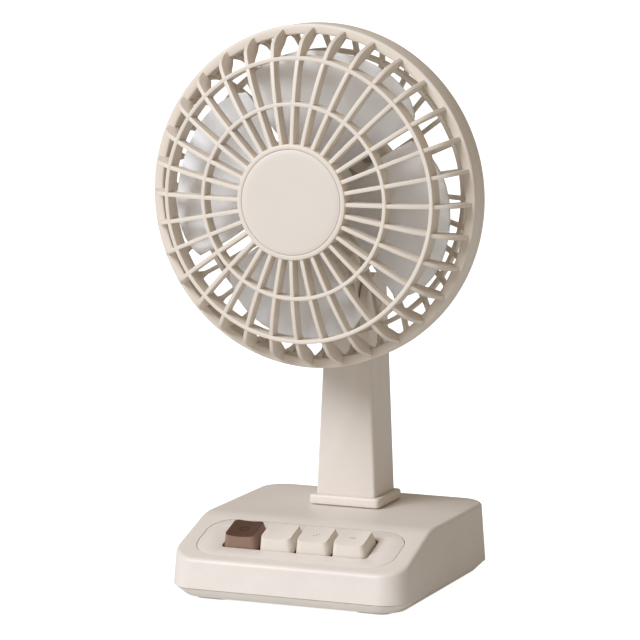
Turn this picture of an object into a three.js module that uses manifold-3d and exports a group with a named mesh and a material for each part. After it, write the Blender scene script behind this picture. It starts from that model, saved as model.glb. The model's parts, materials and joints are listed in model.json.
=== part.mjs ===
// Desk fan: a round guarded head tilts on a square column above a sloped base with four keys.
// Millimetres, +Z up. The origin is at the middle of the footprint, at the bottom of the feet.
// The front is -Y and the head's axis lies along Y.

import * as THREE from "three";
import { mergeVertices } from "three/addons/utils/BufferGeometryUtils.js";
import Module from "manifold-3d";

const wasm = await Module();
wasm.setup();

// ---------------------------------------------------------------- driving dimensions

const GAP = 0.3; // clearance between neighbouring pieces
const WALL = 2.4; // moulded wall thickness

const BASE = {
  halfWidth: 62.3, // at the seam between shell and tray
  halfDepth: 66,
  corner: 14,
  draft: 0.061, // inward lean of the walls per mm of height
  seam: 6.6,
  slopeFoot: 21.3, // height where the sloped front begins
  top: 36.3,
  crease: -21.2, // Y of the line between the slope and the flat top
};

const TRAY = { bottom: 1.5, chamfer: 5, inset: 0.5, lip: 3, floor: 2 };
const FOOT = { halfLength: 9, halfWidth: 5, corner: 4.8, height: 1.2, flare: 0.6, x: 42, y: 51 };
const BOSS = { radius: 3.6, bore: 1.2, bottom: 7.5, x: 52, y: 40 };
const SCREW = { shank: 1.1, head: 2.6, headHeight: 1.6, length: 12 };
const PILLAR = { halfX: 2, halfY: 3, corner: 0.8, x: 43 }; // holds the key board under the slope

const PANEL = { halfWidth: 52, halfDepth: 17.5, corner: 13, thickness: 1.6, floor: 4.4 };
const KEY = {
  pitch: 19.05,
  skirt: 18.2, // width at the foot of the cap
  crown: 15.4, // width at the top of the cap
  height: 6.5, // above the panel
  below: 1.2, // skirt below the panel's face
  wall: 1.4,
  corner: 2.6,
  dish: 0.7,
  stem: 2.2,
};
const SWITCH = { width: 13.4, top: -2.2, bottom: -7.7, well: 2.7, wellFloor: 0.5 };
const KEY_BOARD = { halfX: 46, halfY: 11, thickness: 1.6 };

const COLUMN = {
  y: 31.7,
  halfDepth: 13.9,
  footHalfWidth: 16.3,
  topHalfWidth: 10.9,
  corner: 2.2,
  cavityTop: 122,
  slotFloor: 127,
  slotHalfWidth: 6.9,
  foot: 5, // solid height at the bottom, where the screws hold
  leadHole: 4,
};
const COLUMN_SCREW = { x: 10, shank: 1.3, head: 2.9, headHeight: 1.8, length: 5 };
const COLLAR = { halfWidth: 19, halfDepth: 16.85, height: 4.6, stepHeight: 1.2, step: 1.4, corner: 2.6 };

const HINGE = { y: COLUMN.y, z: 140.3, knuckle: 12.8, halfWidth: 5.9, bolt: 2.5, washer: 9 };
const BOLT_HEAD = { radius: 4.4, height: 1.4, sink: 5, depth: 1 };
const BOLT_NUT = { radius: 4.6, height: 2 };

const AXIS_Z = 198; // height of the head's axis
const RIM_Y = -29.6; // plane of the rim's front lip
const SPOKES = 32;
const RING_STEPS = 64;
const LATTICE_BORE = 4; // hole at the middle of each guard's plate
const RIM = { outer: 84.2, inner: 79.2, front: 0.6, seam: -9.8, back: -15.3 };
const DOME = { radius: 83.2, height: 27.6, insideRadius: 78.6, insideHeight: 20.2, power: 2.65 };
const HUB = { outer: 28, inner: 25.6, plateFront: 23.6, plateBack: 19, front: 27.5 };
const CUP_STEPS = 48;
const RING_1 = { radius: 47, width: 1.9 };
const RING_2 = { radius: 68.7, width: 2 };
const SPOKE_WIDTH = 2;
const CAP = { radius: 25.2, front: 28.1, back: 23.9, edge: 0.5, crown: 0.3 };

const REAR = { plate: 33, plateFront: -31.6, plateBack: -35.6, bend: 54, band: 80.4, ribWidth: 2 };
const REAR_RING = { radius: 70, width: 2.2 };
const HOUSING = { radius: 31, front: -35.9, back: -55, round: 9, wall: 2.2, neckHalfWidth: 8.5 };
const MOTOR = { radius: 14, front: -14, back: -31.3, bearing: 4.7, bearingWidth: 2.5, bore: 2.4 };
const HOUSING_SCREW = {
  circle: 24,
  angles: [45, 135, 225, 315].map(THREE.MathUtils.degToRad),
  shank: 1.3,
  head: 2.7,
  headHeight: 1.6,
  length: 7, // behind the guard's plate
  boss: 3.4,
};
const SHAFT = { radius: 1.5, front: 12.6, back: -30.8, clearance: 0.1 };
const ROTOR = { hub: 20, front: 10, back: -10, wall: 2, sleeve: 5, blades: 4, firstBlade: -11 };
const BLADE = { tip: 71.5, round: 7, centre: 1, camber: 2.2, thickness: 1.6, thinning: 0.5, pitch: 0.46 };
const NUT = { radius: 4.2, front: 13.6, edge: 1.2 };

const BATTERY = { radius: 9.2, halfLength: 32.5, y: 0, z: 13.2 };
const CRADLE = { x: 20, halfX: 2, halfY: 8, top: 9 };
const BOARD = { halfWidth: 28, front: 12, back: 57.5, z: 11, thickness: 1.6, post: 2.6, inset: 5 };
const SOCKET = { halfWidth: 4.5, halfHeight: 1.65, depth: 7.3, rim: 0.35 };
const LEAD = { radius: 1.3, bow: 1.5 };

// ---------------------------------------------------------------- materials

/** A plain material from a colour, a roughness and a metalness. */
function finish(colour, roughness, metalness = 0) {
  return new THREE.MeshStandardMaterial({ color: colour, roughness, metalness });
}

const BEIGE = finish(0xe2d9cf, 0.55);
const BROWN = finish(0x61483a, 0.5);
const FROSTED = finish(0xcec9c3, 0.4);
const STEEL = finish(0xb8bcc0, 0.35, 0.9);
const BOARD_GREEN = finish(0x2c5a3c, 0.5);
const BLACK = finish(0x232323, 0.55);
const CELL_BLUE = finish(0x3a6ea5, 0.4);
const COPPER = finish(0xa8663c, 0.4, 0.8);
const NYLON = finish(0xd8d4cc, 0.5);

// ---------------------------------------------------------------- solids from three.js geometry

/** Turns a closed three.js geometry into a solid, dropping collapsed faces and turning it outward. */
function solid(geometry) {
  const bare = geometry.clone();
  bare.deleteAttribute("normal");
  bare.deleteAttribute("uv");
  const merged = mergeVertices(bare, 1e-4);
  const corners = [];
  const index = merged.index.array;
  for (let i = 0; i < index.length; i += 3) {
    const [a, b, c] = [index[i], index[i + 1], index[i + 2]];
    if (a !== b && b !== c && c !== a) corners.push(a, b, c);
  }
  const vertProperties = new Float32Array(merged.attributes.position.array);
  if (signedVolume(vertProperties, corners) < 0) {
    for (let i = 0; i < corners.length; i += 3) {
      [corners[i], corners[i + 1]] = [corners[i + 1], corners[i]];
    }
  }
  const triVerts = new Uint32Array(corners);
  return new wasm.Manifold(new wasm.Mesh({ numProp: 3, vertProperties, triVerts }));
}

/** Six times the volume inside a triangle list, negative when its faces point inward. */
function signedVolume(points, corners) {
  const [a, b, c] = [new THREE.Vector3(), new THREE.Vector3(), new THREE.Vector3()];
  let total = 0;
  for (let i = 0; i < corners.length; i += 3) {
    a.fromArray(points, 3 * corners[i]);
    b.fromArray(points, 3 * corners[i + 1]);
    c.fromArray(points, 3 * corners[i + 2]);
    total += a.dot(b.cross(c));
  }
  return total;
}

/** Turns a solid back into a three.js geometry. */
function geometryOf(body) {
  const mesh = body.getMesh();
  const geometry = new THREE.BufferGeometry();
  geometry.setAttribute("position", new THREE.BufferAttribute(new Float32Array(mesh.vertProperties), 3));
  geometry.setIndex(new THREE.BufferAttribute(new Uint32Array(mesh.triVerts), 1));
  geometry.computeVertexNormals();
  return geometry;
}

/** Joins a list of solids. */
function join(bodies) {
  return bodies.reduce((whole, body) => whole.add(body));
}

/** A box given by its lowest and highest corners. */
function box([x0, y0, z0], [x1, y1, z1]) {
  const geometry = new THREE.BoxGeometry(x1 - x0, y1 - y0, z1 - z0);
  geometry.translate((x0 + x1) / 2, (y0 + y1) / 2, (z0 + z1) / 2);
  return solid(geometry);
}

/** An upright cylinder between two heights. */
function post(radius, x, y, z0, z1, sides = 16) {
  const geometry = new THREE.CylinderGeometry(radius, radius, z1 - z0, sides);
  geometry.rotateX(Math.PI / 2);
  geometry.translate(x, y, (z0 + z1) / 2);
  return solid(geometry);
}

/** A cylinder along X about the point (y, z). */
function pin(radius, x0, x1, y, z, sides = 24) {
  const geometry = new THREE.CylinderGeometry(radius, radius, x1 - x0, sides);
  geometry.rotateZ(Math.PI / 2);
  geometry.translate((x0 + x1) / 2, y, z);
  return solid(geometry);
}

/** A body turned about the head's axis from [radius, forward] points that close on themselves. */
function turned(points, steps = RING_STEPS) {
  const profile = points.map(([r, forward]) => new THREE.Vector2(r, RIM_Y - forward));
  profile.push(profile[0].clone());
  const geometry = new THREE.LatheGeometry(profile, steps);
  geometry.rotateY(Math.PI / SPOKES);
  geometry.translate(0, 0, AXIS_Z);
  return solid(geometry);
}

/** A disc or tube about the head's axis between two radii and two forward distances. */
function drum(inner, outer, back, front, steps = RING_STEPS) {
  return turned([[inner, back], [outer, back], [outer, front], [inner, front]], steps);
}

/** A rounded rectangle in the shape plane. */
function roundedRectangle(halfX, halfY, radius) {
  const shape = new THREE.Shape();
  const [x, y] = [halfX - radius, halfY - radius];
  shape.absarc(x, y, radius, 0, Math.PI / 2);
  shape.absarc(-x, y, radius, Math.PI / 2, Math.PI);
  shape.absarc(-x, -y, radius, Math.PI, 1.5 * Math.PI);
  shape.absarc(x, -y, radius, 1.5 * Math.PI, 2 * Math.PI);
  return shape;
}

/** A rounded rectangular block whose sides move inward by leanX and leanY from bottom to top. */
function leaningBlock({ halfX, halfY, corner, z0, z1, leanX = 0, leanY = 0, y = 0, segments = 4 }) {
  const shape = roundedRectangle(halfX, halfY, corner);
  const options = { depth: z1 - z0, bevelEnabled: false, curveSegments: segments };
  const geometry = new THREE.ExtrudeGeometry(shape, options);
  const spot = geometry.attributes.position;
  for (let i = 0; i < spot.count; i += 1) {
    const share = spot.getZ(i) / (z1 - z0);
    spot.setX(i, spot.getX(i) - Math.sign(spot.getX(i)) * leanX * share);
    spot.setY(i, spot.getY(i) - Math.sign(spot.getY(i)) * leanY * share);
  }
  geometry.translate(0, y, z0);
  return solid(geometry);
}

/** A prism along X whose side view is the given shape, with Y across and Z up. */
function sidePrism(shape, x0, x1, segments = 10) {
  const options = { depth: x1 - x0, bevelEnabled: false, curveSegments: segments };
  const geometry = new THREE.ExtrudeGeometry(shape, options);
  const turn = new THREE.Matrix4().makeBasis(
    new THREE.Vector3(0, 1, 0),
    new THREE.Vector3(0, 0, 1),
    new THREE.Vector3(1, 0, 0),
  );
  geometry.applyMatrix4(turn);
  geometry.translate(x0, 0, 0);
  return solid(geometry);
}

/** A polygon shape from [across, up] points. */
function polygon(points) {
  return new THREE.Shape(points.map(([across, up]) => new THREE.Vector2(across, up)));
}

// ---------------------------------------------------------------- the scene graph

const fan = new THREE.Group();

const BASE_SLOPE = Math.atan2(
  BASE.top - BASE.slopeFoot,
  BASE.crease + BASE.halfDepth - (BASE.slopeFoot - BASE.seam) * BASE.draft,
);
const SLOPE_MIDDLE = new THREE.Vector3(
  0,
  (BASE.crease - BASE.halfDepth + (BASE.slopeFoot - BASE.seam) * BASE.draft) / 2,
  (BASE.top + BASE.slopeFoot) / 2,
);

/** The keys and their panel lie in this turned group: X across, Y up the slope, Z off its face. */
const slope = new THREE.Group();
slope.position.copy(SLOPE_MIDDLE);
slope.rotation.x = BASE_SLOPE;
fan.add(slope);

/** Puts a solid into a group as a named mesh. */
function place(name, body, material, group = fan) {
  const mesh = new THREE.Mesh(geometryOf(body), material);
  mesh.name = name;
  group.add(mesh);
}

/** A solid of the slope's own frame, moved to where it stands in the fan. */
function ontoSlope(body) {
  const geometry = geometryOf(body);
  geometry.rotateX(BASE_SLOPE);
  geometry.translate(SLOPE_MIDDLE.x, SLOPE_MIDDLE.y, SLOPE_MIDDLE.z);
  return solid(geometry);
}

const CORNERS = [
  ["front_left", -1, -1],
  ["front_right", 1, -1],
  ["rear_left", -1, 1],
  ["rear_right", 1, 1],
];

// ---------------------------------------------------------------- base

/** The drafted block of the base shell, made smaller all round by an inset. */
function baseBlock(inset, z0, z1) {
  const raised = (z0 - BASE.seam) * BASE.draft;
  const lean = (z1 - z0) * BASE.draft;
  return leaningBlock({
    halfX: BASE.halfWidth - inset - raised,
    halfY: BASE.halfDepth - inset - raised,
    corner: BASE.corner - inset,
    z0,
    z1,
    leanX: lean,
    leanY: lean,
  });
}

/** Everything below the slope and the flat top, each lowered by a wall's thickness. */
function underTop(topWall, slopeWall) {
  const low = TRAY.bottom - WALL;
  const frontY = SLOPE_MIDDLE.y * 2 - BASE.crease;
  const rise = (BASE.top - BASE.slopeFoot) / (BASE.crease - frontY);
  const drop = slopeWall / Math.cos(BASE_SLOPE);
  const creaseY = BASE.crease + (drop - topWall) / rise;
  const reach = BASE.halfDepth + WALL;
  const footZ = BASE.slopeFoot - drop - (reach + frontY) * rise;
  const top = BASE.top - topWall;
  const side = polygon([[-reach, low], [reach, low], [reach, top], [creaseY, top], [-reach, footZ]]);
  return sidePrism(side, -2 * BASE.halfWidth, 2 * BASE.halfWidth);
}

/** Holes down through the base's flat top for the motor lead and the two column screws. */
function columnHoles() {
  const [low, high] = [BASE.top - 2 * WALL, BASE.top + WALL];
  const holes = [post(COLUMN.leadHole + 1, 0, COLUMN.y, low, high)];
  for (const side of [-1, 1]) {
    holes.push(post(COLUMN_SCREW.shank + 0.4, side * COLUMN_SCREW.x, COLUMN.y, low, high));
  }
  return join(holes);
}

function baseShell() {
  const outside = baseBlock(0, BASE.seam, BASE.top).intersect(underTop(0, 0));
  const inside = baseBlock(WALL, BASE.seam - WALL, BASE.top).intersect(underTop(WALL, PANEL.floor));
  let shell = outside.subtract(inside);
  for (const [, sideX, sideY] of CORNERS) {
    const boss = post(BOSS.radius, sideX * BOSS.x, sideY * BOSS.y, BOSS.bottom, BASE.top - 1);
    shell = shell.add(boss.intersect(outside));
  }
  for (const side of [-1, 1]) {
    const { halfX, halfY, corner, x } = PILLAR;
    const pillar = leaningBlock({ halfX, halfY, corner, z0: SWITCH.bottom, z1: -PANEL.thickness - 1 });
    const geometry = geometryOf(pillar);
    geometry.translate(side * x, 0, 0);
    shell = shell.add(ontoSlope(solid(geometry)));
  }
  for (const [, sideX, sideY] of CORNERS) {
    const top = TRAY.bottom + SCREW.length + WALL;
    shell = shell.subtract(post(BOSS.bore, sideX * BOSS.x, sideY * BOSS.y, TRAY.bottom, top));
  }
  const recess = leaningBlock({
    halfX: PANEL.halfWidth + GAP,
    halfY: PANEL.halfDepth + GAP,
    corner: PANEL.corner,
    z0: -PANEL.thickness - GAP,
    z1: 2 * WALL,
  });
  const [wellX, wellY] = [2.1 * KEY.pitch, KEY.skirt / 2 + 1];
  const keyWell = box([-wellX, -wellY, SWITCH.bottom], [wellX, wellY, WALL]);
  const socketZ = BOARD.z + BOARD.thickness;
  const socketHole = box(
    [-SOCKET.halfWidth - GAP, BASE.halfDepth - 2 * WALL, socketZ],
    [SOCKET.halfWidth + GAP, BASE.halfDepth + WALL, socketZ + 2 * (SOCKET.halfHeight + GAP)],
  );
  return shell
    .subtract(ontoSlope(recess))
    .subtract(ontoSlope(keyWell))
    .subtract(columnHoles())
    .subtract(socketHole);
}

/** A post under the circuit board at each of its corners and a cradle at each end of the cell. */
function traySupports() {
  const floor = TRAY.bottom + TRAY.floor / 2;
  const supports = [];
  for (const side of [-1, 1]) {
    const boardX = side * (BOARD.halfWidth - BOARD.inset);
    for (const y of [BOARD.front + BOARD.inset, BOARD.back - BOARD.inset]) {
      supports.push(post(BOARD.post, boardX, y, floor, BOARD.z - GAP, 12));
    }
    const cradleX = side * CRADLE.x;
    const low = [cradleX - CRADLE.halfX, -CRADLE.halfY, floor];
    const cradle = box(low, [cradleX + CRADLE.halfX, CRADLE.halfY, CRADLE.top]);
    supports.push(cradle.subtract(batteryCell(GAP)));
  }
  return join(supports);
}

function baseTray() {
  const rimZ = BASE.seam - GAP;
  const outside = leaningBlock({
    halfX: BASE.halfWidth - TRAY.chamfer,
    halfY: BASE.halfDepth - TRAY.chamfer,
    corner: BASE.corner - TRAY.lip,
    z0: TRAY.bottom,
    z1: rimZ,
    leanX: TRAY.inset - TRAY.chamfer,
    leanY: TRAY.inset - TRAY.chamfer,
  });
  const lip = baseBlock(WALL + 2 * GAP, rimZ - 1, rimZ + TRAY.lip);
  const cavity = baseBlock(TRAY.chamfer + WALL, TRAY.bottom + TRAY.floor, rimZ + 2 * TRAY.lip);
  let tray = outside.add(lip).subtract(cavity).add(traySupports());
  for (const [, sideX, sideY] of CORNERS) {
    const [x, y] = [sideX * BOSS.x, sideY * BOSS.y];
    const sinkTop = TRAY.bottom + SCREW.headHeight + GAP;
    tray = tray
      .subtract(post(BOSS.radius + GAP, x, y, BOSS.bottom - GAP, BASE.top))
      .subtract(post(SCREW.shank + GAP, x, y, 0, BASE.top))
      .subtract(post(SCREW.head + GAP, x, y, 0, sinkTop));
  }
  return tray;
}

/** The cylindrical cell that lies across the tray, grown by a clearance. */
function batteryCell(grow = 0) {
  const half = BATTERY.halfLength + grow;
  return pin(BATTERY.radius + grow, -half, half, BATTERY.y, BATTERY.z, 28);
}

function baseScrew(x, y) {
  const headTop = TRAY.bottom + SCREW.headHeight;
  const head = post(SCREW.head, x, y, TRAY.bottom, headTop, 12);
  return head.add(post(SCREW.shank, x, y, headTop - 0.2, TRAY.bottom + SCREW.length, 8));
}

place("base_shell", baseShell(), BEIGE);
place("base_tray", baseTray(), BEIGE);
for (const [corner, sideX, sideY] of CORNERS) {
  const pad = leaningBlock({
    halfX: FOOT.halfLength,
    halfY: FOOT.halfWidth,
    corner: FOOT.corner,
    z0: 0,
    z1: FOOT.height,
    leanX: -FOOT.flare,
    leanY: -FOOT.flare,
  });
  const geometry = geometryOf(pad);
  geometry.translate(sideX * FOOT.x, sideY * FOOT.y, 0);
  place(`foot_${corner}`, solid(geometry), BEIGE);
  place(`base_screw_${corner}`, baseScrew(sideX * BOSS.x, sideY * BOSS.y), STEEL);
}

const boardLow = [-BOARD.halfWidth, BOARD.front, BOARD.z];
const boardHigh = [BOARD.halfWidth, BOARD.back, BOARD.z + BOARD.thickness];
place("circuit_board", box(boardLow, boardHigh), BOARD_GREEN);
place("battery_cell", batteryCell(), CELL_BLUE);

/** The metal shell of the socket, open toward the back. */
function chargeSocket() {
  const { halfWidth, halfHeight, depth, rim } = SOCKET;
  const low = BOARD.z + BOARD.thickness + GAP;
  const high = low + 2 * halfHeight;
  const face = BASE.halfDepth - (high - BASE.seam) * BASE.draft - GAP / 2;
  const outside = box([-halfWidth, face - depth, low], [halfWidth, face, high]);
  const mouth = box([rim - halfWidth, face - depth + 1, low + rim], [halfWidth - rim, face + 1, high - rim]);
  return outside.subtract(mouth);
}
place("charge_socket", chargeSocket(), STEEL);

// ---------------------------------------------------------------- keys and their panel

function keyPanel() {
  const { halfWidth: halfX, halfDepth: halfY, corner, thickness } = PANEL;
  const plate = leaningBlock({ halfX, halfY, corner, z0: -thickness, z1: 0, segments: 8 });
  const reachX = 2 * KEY.pitch + GAP;
  const reachY = KEY.skirt / 2 + GAP;
  return plate.subtract(box([-reachX, -reachY, -2 * WALL], [reachX, reachY, WALL]));
}

/** A keycap: a hollow cap with leaning sides, a top dished from side to side and a stem inside. */
function keycap() {
  const half = KEY.skirt / 2;
  const lean = (KEY.skirt - KEY.crown) / 2;
  const roof = KEY.height - KEY.wall - KEY.dish;
  const outside = leaningBlock({
    halfX: half,
    halfY: half,
    corner: KEY.corner,
    z0: -KEY.below,
    z1: KEY.height,
    leanX: lean,
    leanY: lean,
    segments: 3,
  });
  const hollow = leaningBlock({
    halfX: half - KEY.wall,
    halfY: half - KEY.wall,
    corner: KEY.corner - KEY.wall,
    z0: -KEY.below - 1,
    z1: roof,
    leanX: 0.8 * lean,
    leanY: 0.8 * lean,
    segments: 2,
  });
  const dishRadius = (half * half) / (2 * KEY.dish);
  const dishGeometry = new THREE.CylinderGeometry(dishRadius, dishRadius, 2 * KEY.pitch, 160);
  dishGeometry.translate(0, 0, KEY.height - KEY.dish + dishRadius);
  const dish = solid(dishGeometry);
  const stem = post(KEY.stem, 0, 0, SWITCH.top - KEY.below, roof + KEY.wall / 4, 12);
  return outside.subtract(hollow).subtract(dish).add(stem);
}

function keySwitch(x) {
  const half = SWITCH.width / 2;
  const body = box([x - half, -half, SWITCH.bottom], [x + half, half, SWITCH.top]);
  return body.subtract(post(SWITCH.well, x, 0, SWITCH.bottom + SWITCH.wellFloor, 0));
}

const KEY_NAMES = ["power", "speed", "mode", "timer"];
place("key_panel", keyPanel(), BEIGE, slope);
for (const [number, use] of KEY_NAMES.entries()) {
  const x = (number - (KEY_NAMES.length - 1) / 2) * KEY.pitch;
  const geometry = geometryOf(keycap());
  geometry.translate(x, 0, 0);
  place(`key_${use}`, solid(geometry), use === "power" ? BROWN : BEIGE, slope);
  place(`switch_${use}`, keySwitch(x), BLACK, slope);
}
const keyBoardTop = SWITCH.bottom - GAP;
const keyBoardLow = [-KEY_BOARD.halfX, -KEY_BOARD.halfY, keyBoardTop - KEY_BOARD.thickness];
const keyBoardHigh = [KEY_BOARD.halfX, KEY_BOARD.halfY, keyBoardTop];
place("key_board", box(keyBoardLow, keyBoardHigh), BOARD_GREEN, slope);

// ---------------------------------------------------------------- column and hinge

/** The column's upright body with its half-round top, grown sideways by a clearance. */
function columnBody(grow, z0) {
  const top = HINGE.z + COLUMN.halfDepth;
  const lean = (COLUMN.footHalfWidth - COLUMN.topHalfWidth) / (top - BASE.top);
  const reach = COLUMN.halfDepth + grow;
  const block = leaningBlock({
    halfX: COLUMN.footHalfWidth + grow - (z0 - BASE.top) * lean,
    halfY: reach,
    corner: COLUMN.corner + grow,
    z0,
    z1: top,
    leanX: (top - z0) * lean,
    y: COLUMN.y,
  });
  const side = new THREE.Shape();
  side.moveTo(COLUMN.y - reach, 0);
  side.lineTo(COLUMN.y + reach, 0);
  side.absarc(HINGE.y, HINGE.z, reach, 0, Math.PI);
  return block.intersect(sidePrism(side, -2 * COLUMN.footHalfWidth, 2 * COLUMN.footHalfWidth));
}

/** The holes across the fork: the bolt's, with a sink for its head and one for its nut. */
function boltHoles() {
  const reach = 2 * COLUMN.topHalfWidth;
  const sinkX = COLUMN.topHalfWidth - BOLT_HEAD.depth;
  return join([
    pin(HINGE.bolt + SHAFT.clearance, -reach, reach, HINGE.y, HINGE.z),
    pin(BOLT_HEAD.sink, sinkX, reach, HINGE.y, HINGE.z),
    pin(BOLT_HEAD.sink, -reach, -sinkX, HINGE.y, HINGE.z),
  ]);
}

function columnShell() {
  const footZ = BASE.top + GAP;
  const { slotFloor, slotHalfWidth, cavityTop, leadHole } = COLUMN;
  const hollow = leaningBlock({
    halfX: COLUMN.footHalfWidth - WALL,
    halfY: COLUMN.halfDepth - WALL,
    corner: 1,
    z0: footZ + COLUMN.foot,
    z1: cavityTop,
    leanX: 4,
    y: COLUMN.y,
    segments: 2,
  });
  const reach = 2 * COLUMN.halfDepth;
  const slotHigh = [slotHalfWidth, COLUMN.y + reach, HINGE.z + reach];
  const slot = box([-slotHalfWidth, COLUMN.y - reach, slotFloor], slotHigh);
  const cuts = [
    hollow,
    slot,
    boltHoles(),
    post(leadHole, 0, COLUMN.y, BASE.top, footZ + COLUMN.foot + 1),
    post(leadHole - 1, 0, COLUMN.y, cavityTop - 1, slotFloor + 1),
  ];
  for (const side of [-1, 1]) {
    const top = footZ + COLUMN.foot + 1;
    cuts.push(post(COLUMN_SCREW.shank + 0.2, side * COLUMN_SCREW.x, COLUMN.y, BASE.top, top));
  }
  return cuts.reduce((shell, cut) => shell.subtract(cut), columnBody(0, footZ));
}

function columnCollar() {
  const z0 = BASE.top + GAP;
  const { halfWidth: halfX, halfDepth: halfY, corner, height, step, stepHeight } = COLLAR;
  const z1 = z0 + height;
  const low = leaningBlock({ halfX, halfY, corner, z0, z1, leanX: 0.2, leanY: 0.2, y: COLUMN.y });
  const high = leaningBlock({
    halfX: halfX - step,
    halfY: halfY - step,
    corner,
    z0: z0 + 1,
    z1: z1 + stepHeight,
    leanX: 0.1,
    leanY: 0.1,
    y: COLUMN.y,
  });
  return low.add(high).subtract(columnBody(GAP, BASE.top - 1));
}

function columnScrew(x) {
  const { shank, head, headHeight, length } = COLUMN_SCREW;
  const headTop = BASE.top - WALL - GAP;
  const shankBody = post(shank, x, COLUMN.y, headTop - 0.2, BASE.top + length, 8);
  return post(head, x, COLUMN.y, headTop - headHeight, headTop, 12).add(shankBody);
}

place("column", columnShell(), BEIGE);
place("column_collar", columnCollar(), BEIGE);
place("column_screw_left", columnScrew(-COLUMN_SCREW.x), STEEL);
place("column_screw_right", columnScrew(COLUMN_SCREW.x), STEEL);

const boltHeadX = COLUMN.topHalfWidth - BOLT_HEAD.depth + GAP;
const boltEndX = -boltHeadX - BOLT_NUT.height;
const boltHead = pin(BOLT_HEAD.radius, boltHeadX, boltHeadX + BOLT_HEAD.height, HINGE.y, HINGE.z);
const boltHole = pin(HINGE.bolt + SHAFT.clearance, boltEndX - 1, -boltEndX, HINGE.y, HINGE.z);
const hexagon = pin(BOLT_NUT.radius, boltEndX, -boltHeadX, HINGE.y, HINGE.z, 6);
place("hinge_bolt", pin(HINGE.bolt, boltEndX, boltHeadX + 0.2, HINGE.y, HINGE.z).add(boltHead), STEEL);
place("hinge_nut", hexagon.subtract(boltHole), STEEL);
const washerInner = HINGE.halfWidth + GAP / 2;
const washerOuter = COLUMN.slotHalfWidth - GAP / 2;
const washers = [["left", -washerOuter, -washerInner], ["right", washerInner, washerOuter]];
for (const [side, x0, x1] of washers) {
  const disc = pin(HINGE.washer, x0, x1, HINGE.y, HINGE.z, 32);
  place(`hinge_washer_${side}`, disc.subtract(boltHole), STEEL);
}

/** The motor lead's line, from the circuit board up through the column with a slight bow. */
class LeadRoute extends THREE.Curve {
  getPoint(t, target = new THREE.Vector3()) {
    const low = BOARD.z + BOARD.thickness + GAP;
    const high = COLUMN.slotFloor - 1;
    const bow = LEAD.bow * Math.sin(Math.PI * t) ** 2;
    return target.set(bow * Math.sin(2 * Math.PI * t), COLUMN.y, low + (high - low) * t);
  }
}

const leadSection = new THREE.Shape();
leadSection.absarc(0, 0, LEAD.radius, 0, 2 * Math.PI);
const leadOptions = { steps: 16, bevelEnabled: false, curveSegments: 4, extrudePath: new LeadRoute() };
place("motor_lead", solid(new THREE.ExtrudeGeometry(leadSection, leadOptions)), BLACK);

// ---------------------------------------------------------------- head: guards

/** Forward distance of the grille's dome at a radius, on its outside or its inside. */
function domeAt(radius, inside = false) {
  const reach = inside ? DOME.insideRadius : DOME.radius;
  const height = inside ? DOME.insideHeight : DOME.height;
  const share = Math.min(radius / reach, 1);
  return height * (1 - share ** DOME.power) ** (1 / DOME.power);
}

/**
 * A round lattice of ribs and rings. The radii divide it into zones, counted from the inside, and the
 * zones in `open` have windows between their ribs. The two sheets give the forward distance of its
 * front and back faces at a radius.
 */
function lattice({ radii, open, ribWidth, front, back }) {
  const lines = 2 * SPOKES;
  const rings = radii.length;
  const points = [];
  for (const sheet of [front, back]) {
    for (let line = 0; line < lines; line += 1) {
      for (const radius of radii) points.push(...latticePoint(line, radius, ribWidth, sheet(radius)));
    }
  }
  const face = (line, ring) => (line % lines) * rings + ring;
  const rear = (line, ring) => lines * rings + face(line, ring);
  const isRib = (line) => (line + lines) % 2 === 0;
  const filled = (line, zone) => zone >= 0 && zone < rings - 1 && (isRib(line) || !open.includes(zone));
  const index = [];
  const quad = (a, b, c, d) => index.push(a, b, c, a, c, d);
  for (let line = 0; line < lines; line += 1) {
    const next = line + 1;
    for (let zone = 0; zone < rings - 1; zone += 1) {
      if (!filled(line, zone)) continue;
      const out = zone + 1;
      quad(face(line, zone), face(line, out), face(next, out), face(next, zone));
      quad(rear(line, zone), rear(next, zone), rear(next, out), rear(line, out));
      const sides = [
        [filled(line - 1, zone), line, out, line, zone],
        [filled(next, zone), next, zone, next, out],
        [filled(line, out), next, out, line, out],
        [filled(line, zone - 1), line, zone, next, zone],
      ];
      for (const [closed, lineA, ringA, lineB, ringB] of sides) {
        if (!closed) quad(face(lineA, ringA), face(lineB, ringB), rear(lineB, ringB), rear(lineA, ringA));
      }
    }
  }
  const geometry = new THREE.BufferGeometry();
  geometry.setAttribute("position", new THREE.Float32BufferAttribute(points, 3));
  geometry.setIndex(index);
  return solid(geometry);
}

/** A corner of the lattice: even lines are one side of a rib and odd lines are its other side. */
function latticePoint(line, radius, ribWidth, forward) {
  const side = line % 2 === 0 ? -1 : 1;
  const angle = (Math.floor(line / 2) * 2 * Math.PI) / SPOKES + side * Math.asin(ribWidth / 2 / radius);
  return [radius * Math.cos(angle), RIM_Y - forward, AXIS_Z + radius * Math.sin(angle)];
}

/** A function that runs straight between [radius, forward] points and holds its end values. */
function profile(points) {
  return (radius) => {
    const next = points.findIndex(([reach]) => reach >= radius - 1e-3);
    if (next < 0) return points[points.length - 1][1];
    if (next === 0) return points[0][1];
    const [[r0, f0], [r1, f1]] = [points[next - 1], points[next]];
    return f0 + ((f1 - f0) * (radius - r0)) / (r1 - r0);
  };
}

/** Inner and outer edge of a ring. */
function edges({ radius, width }) {
  return [radius - width / 2, radius + width / 2];
}

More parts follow.
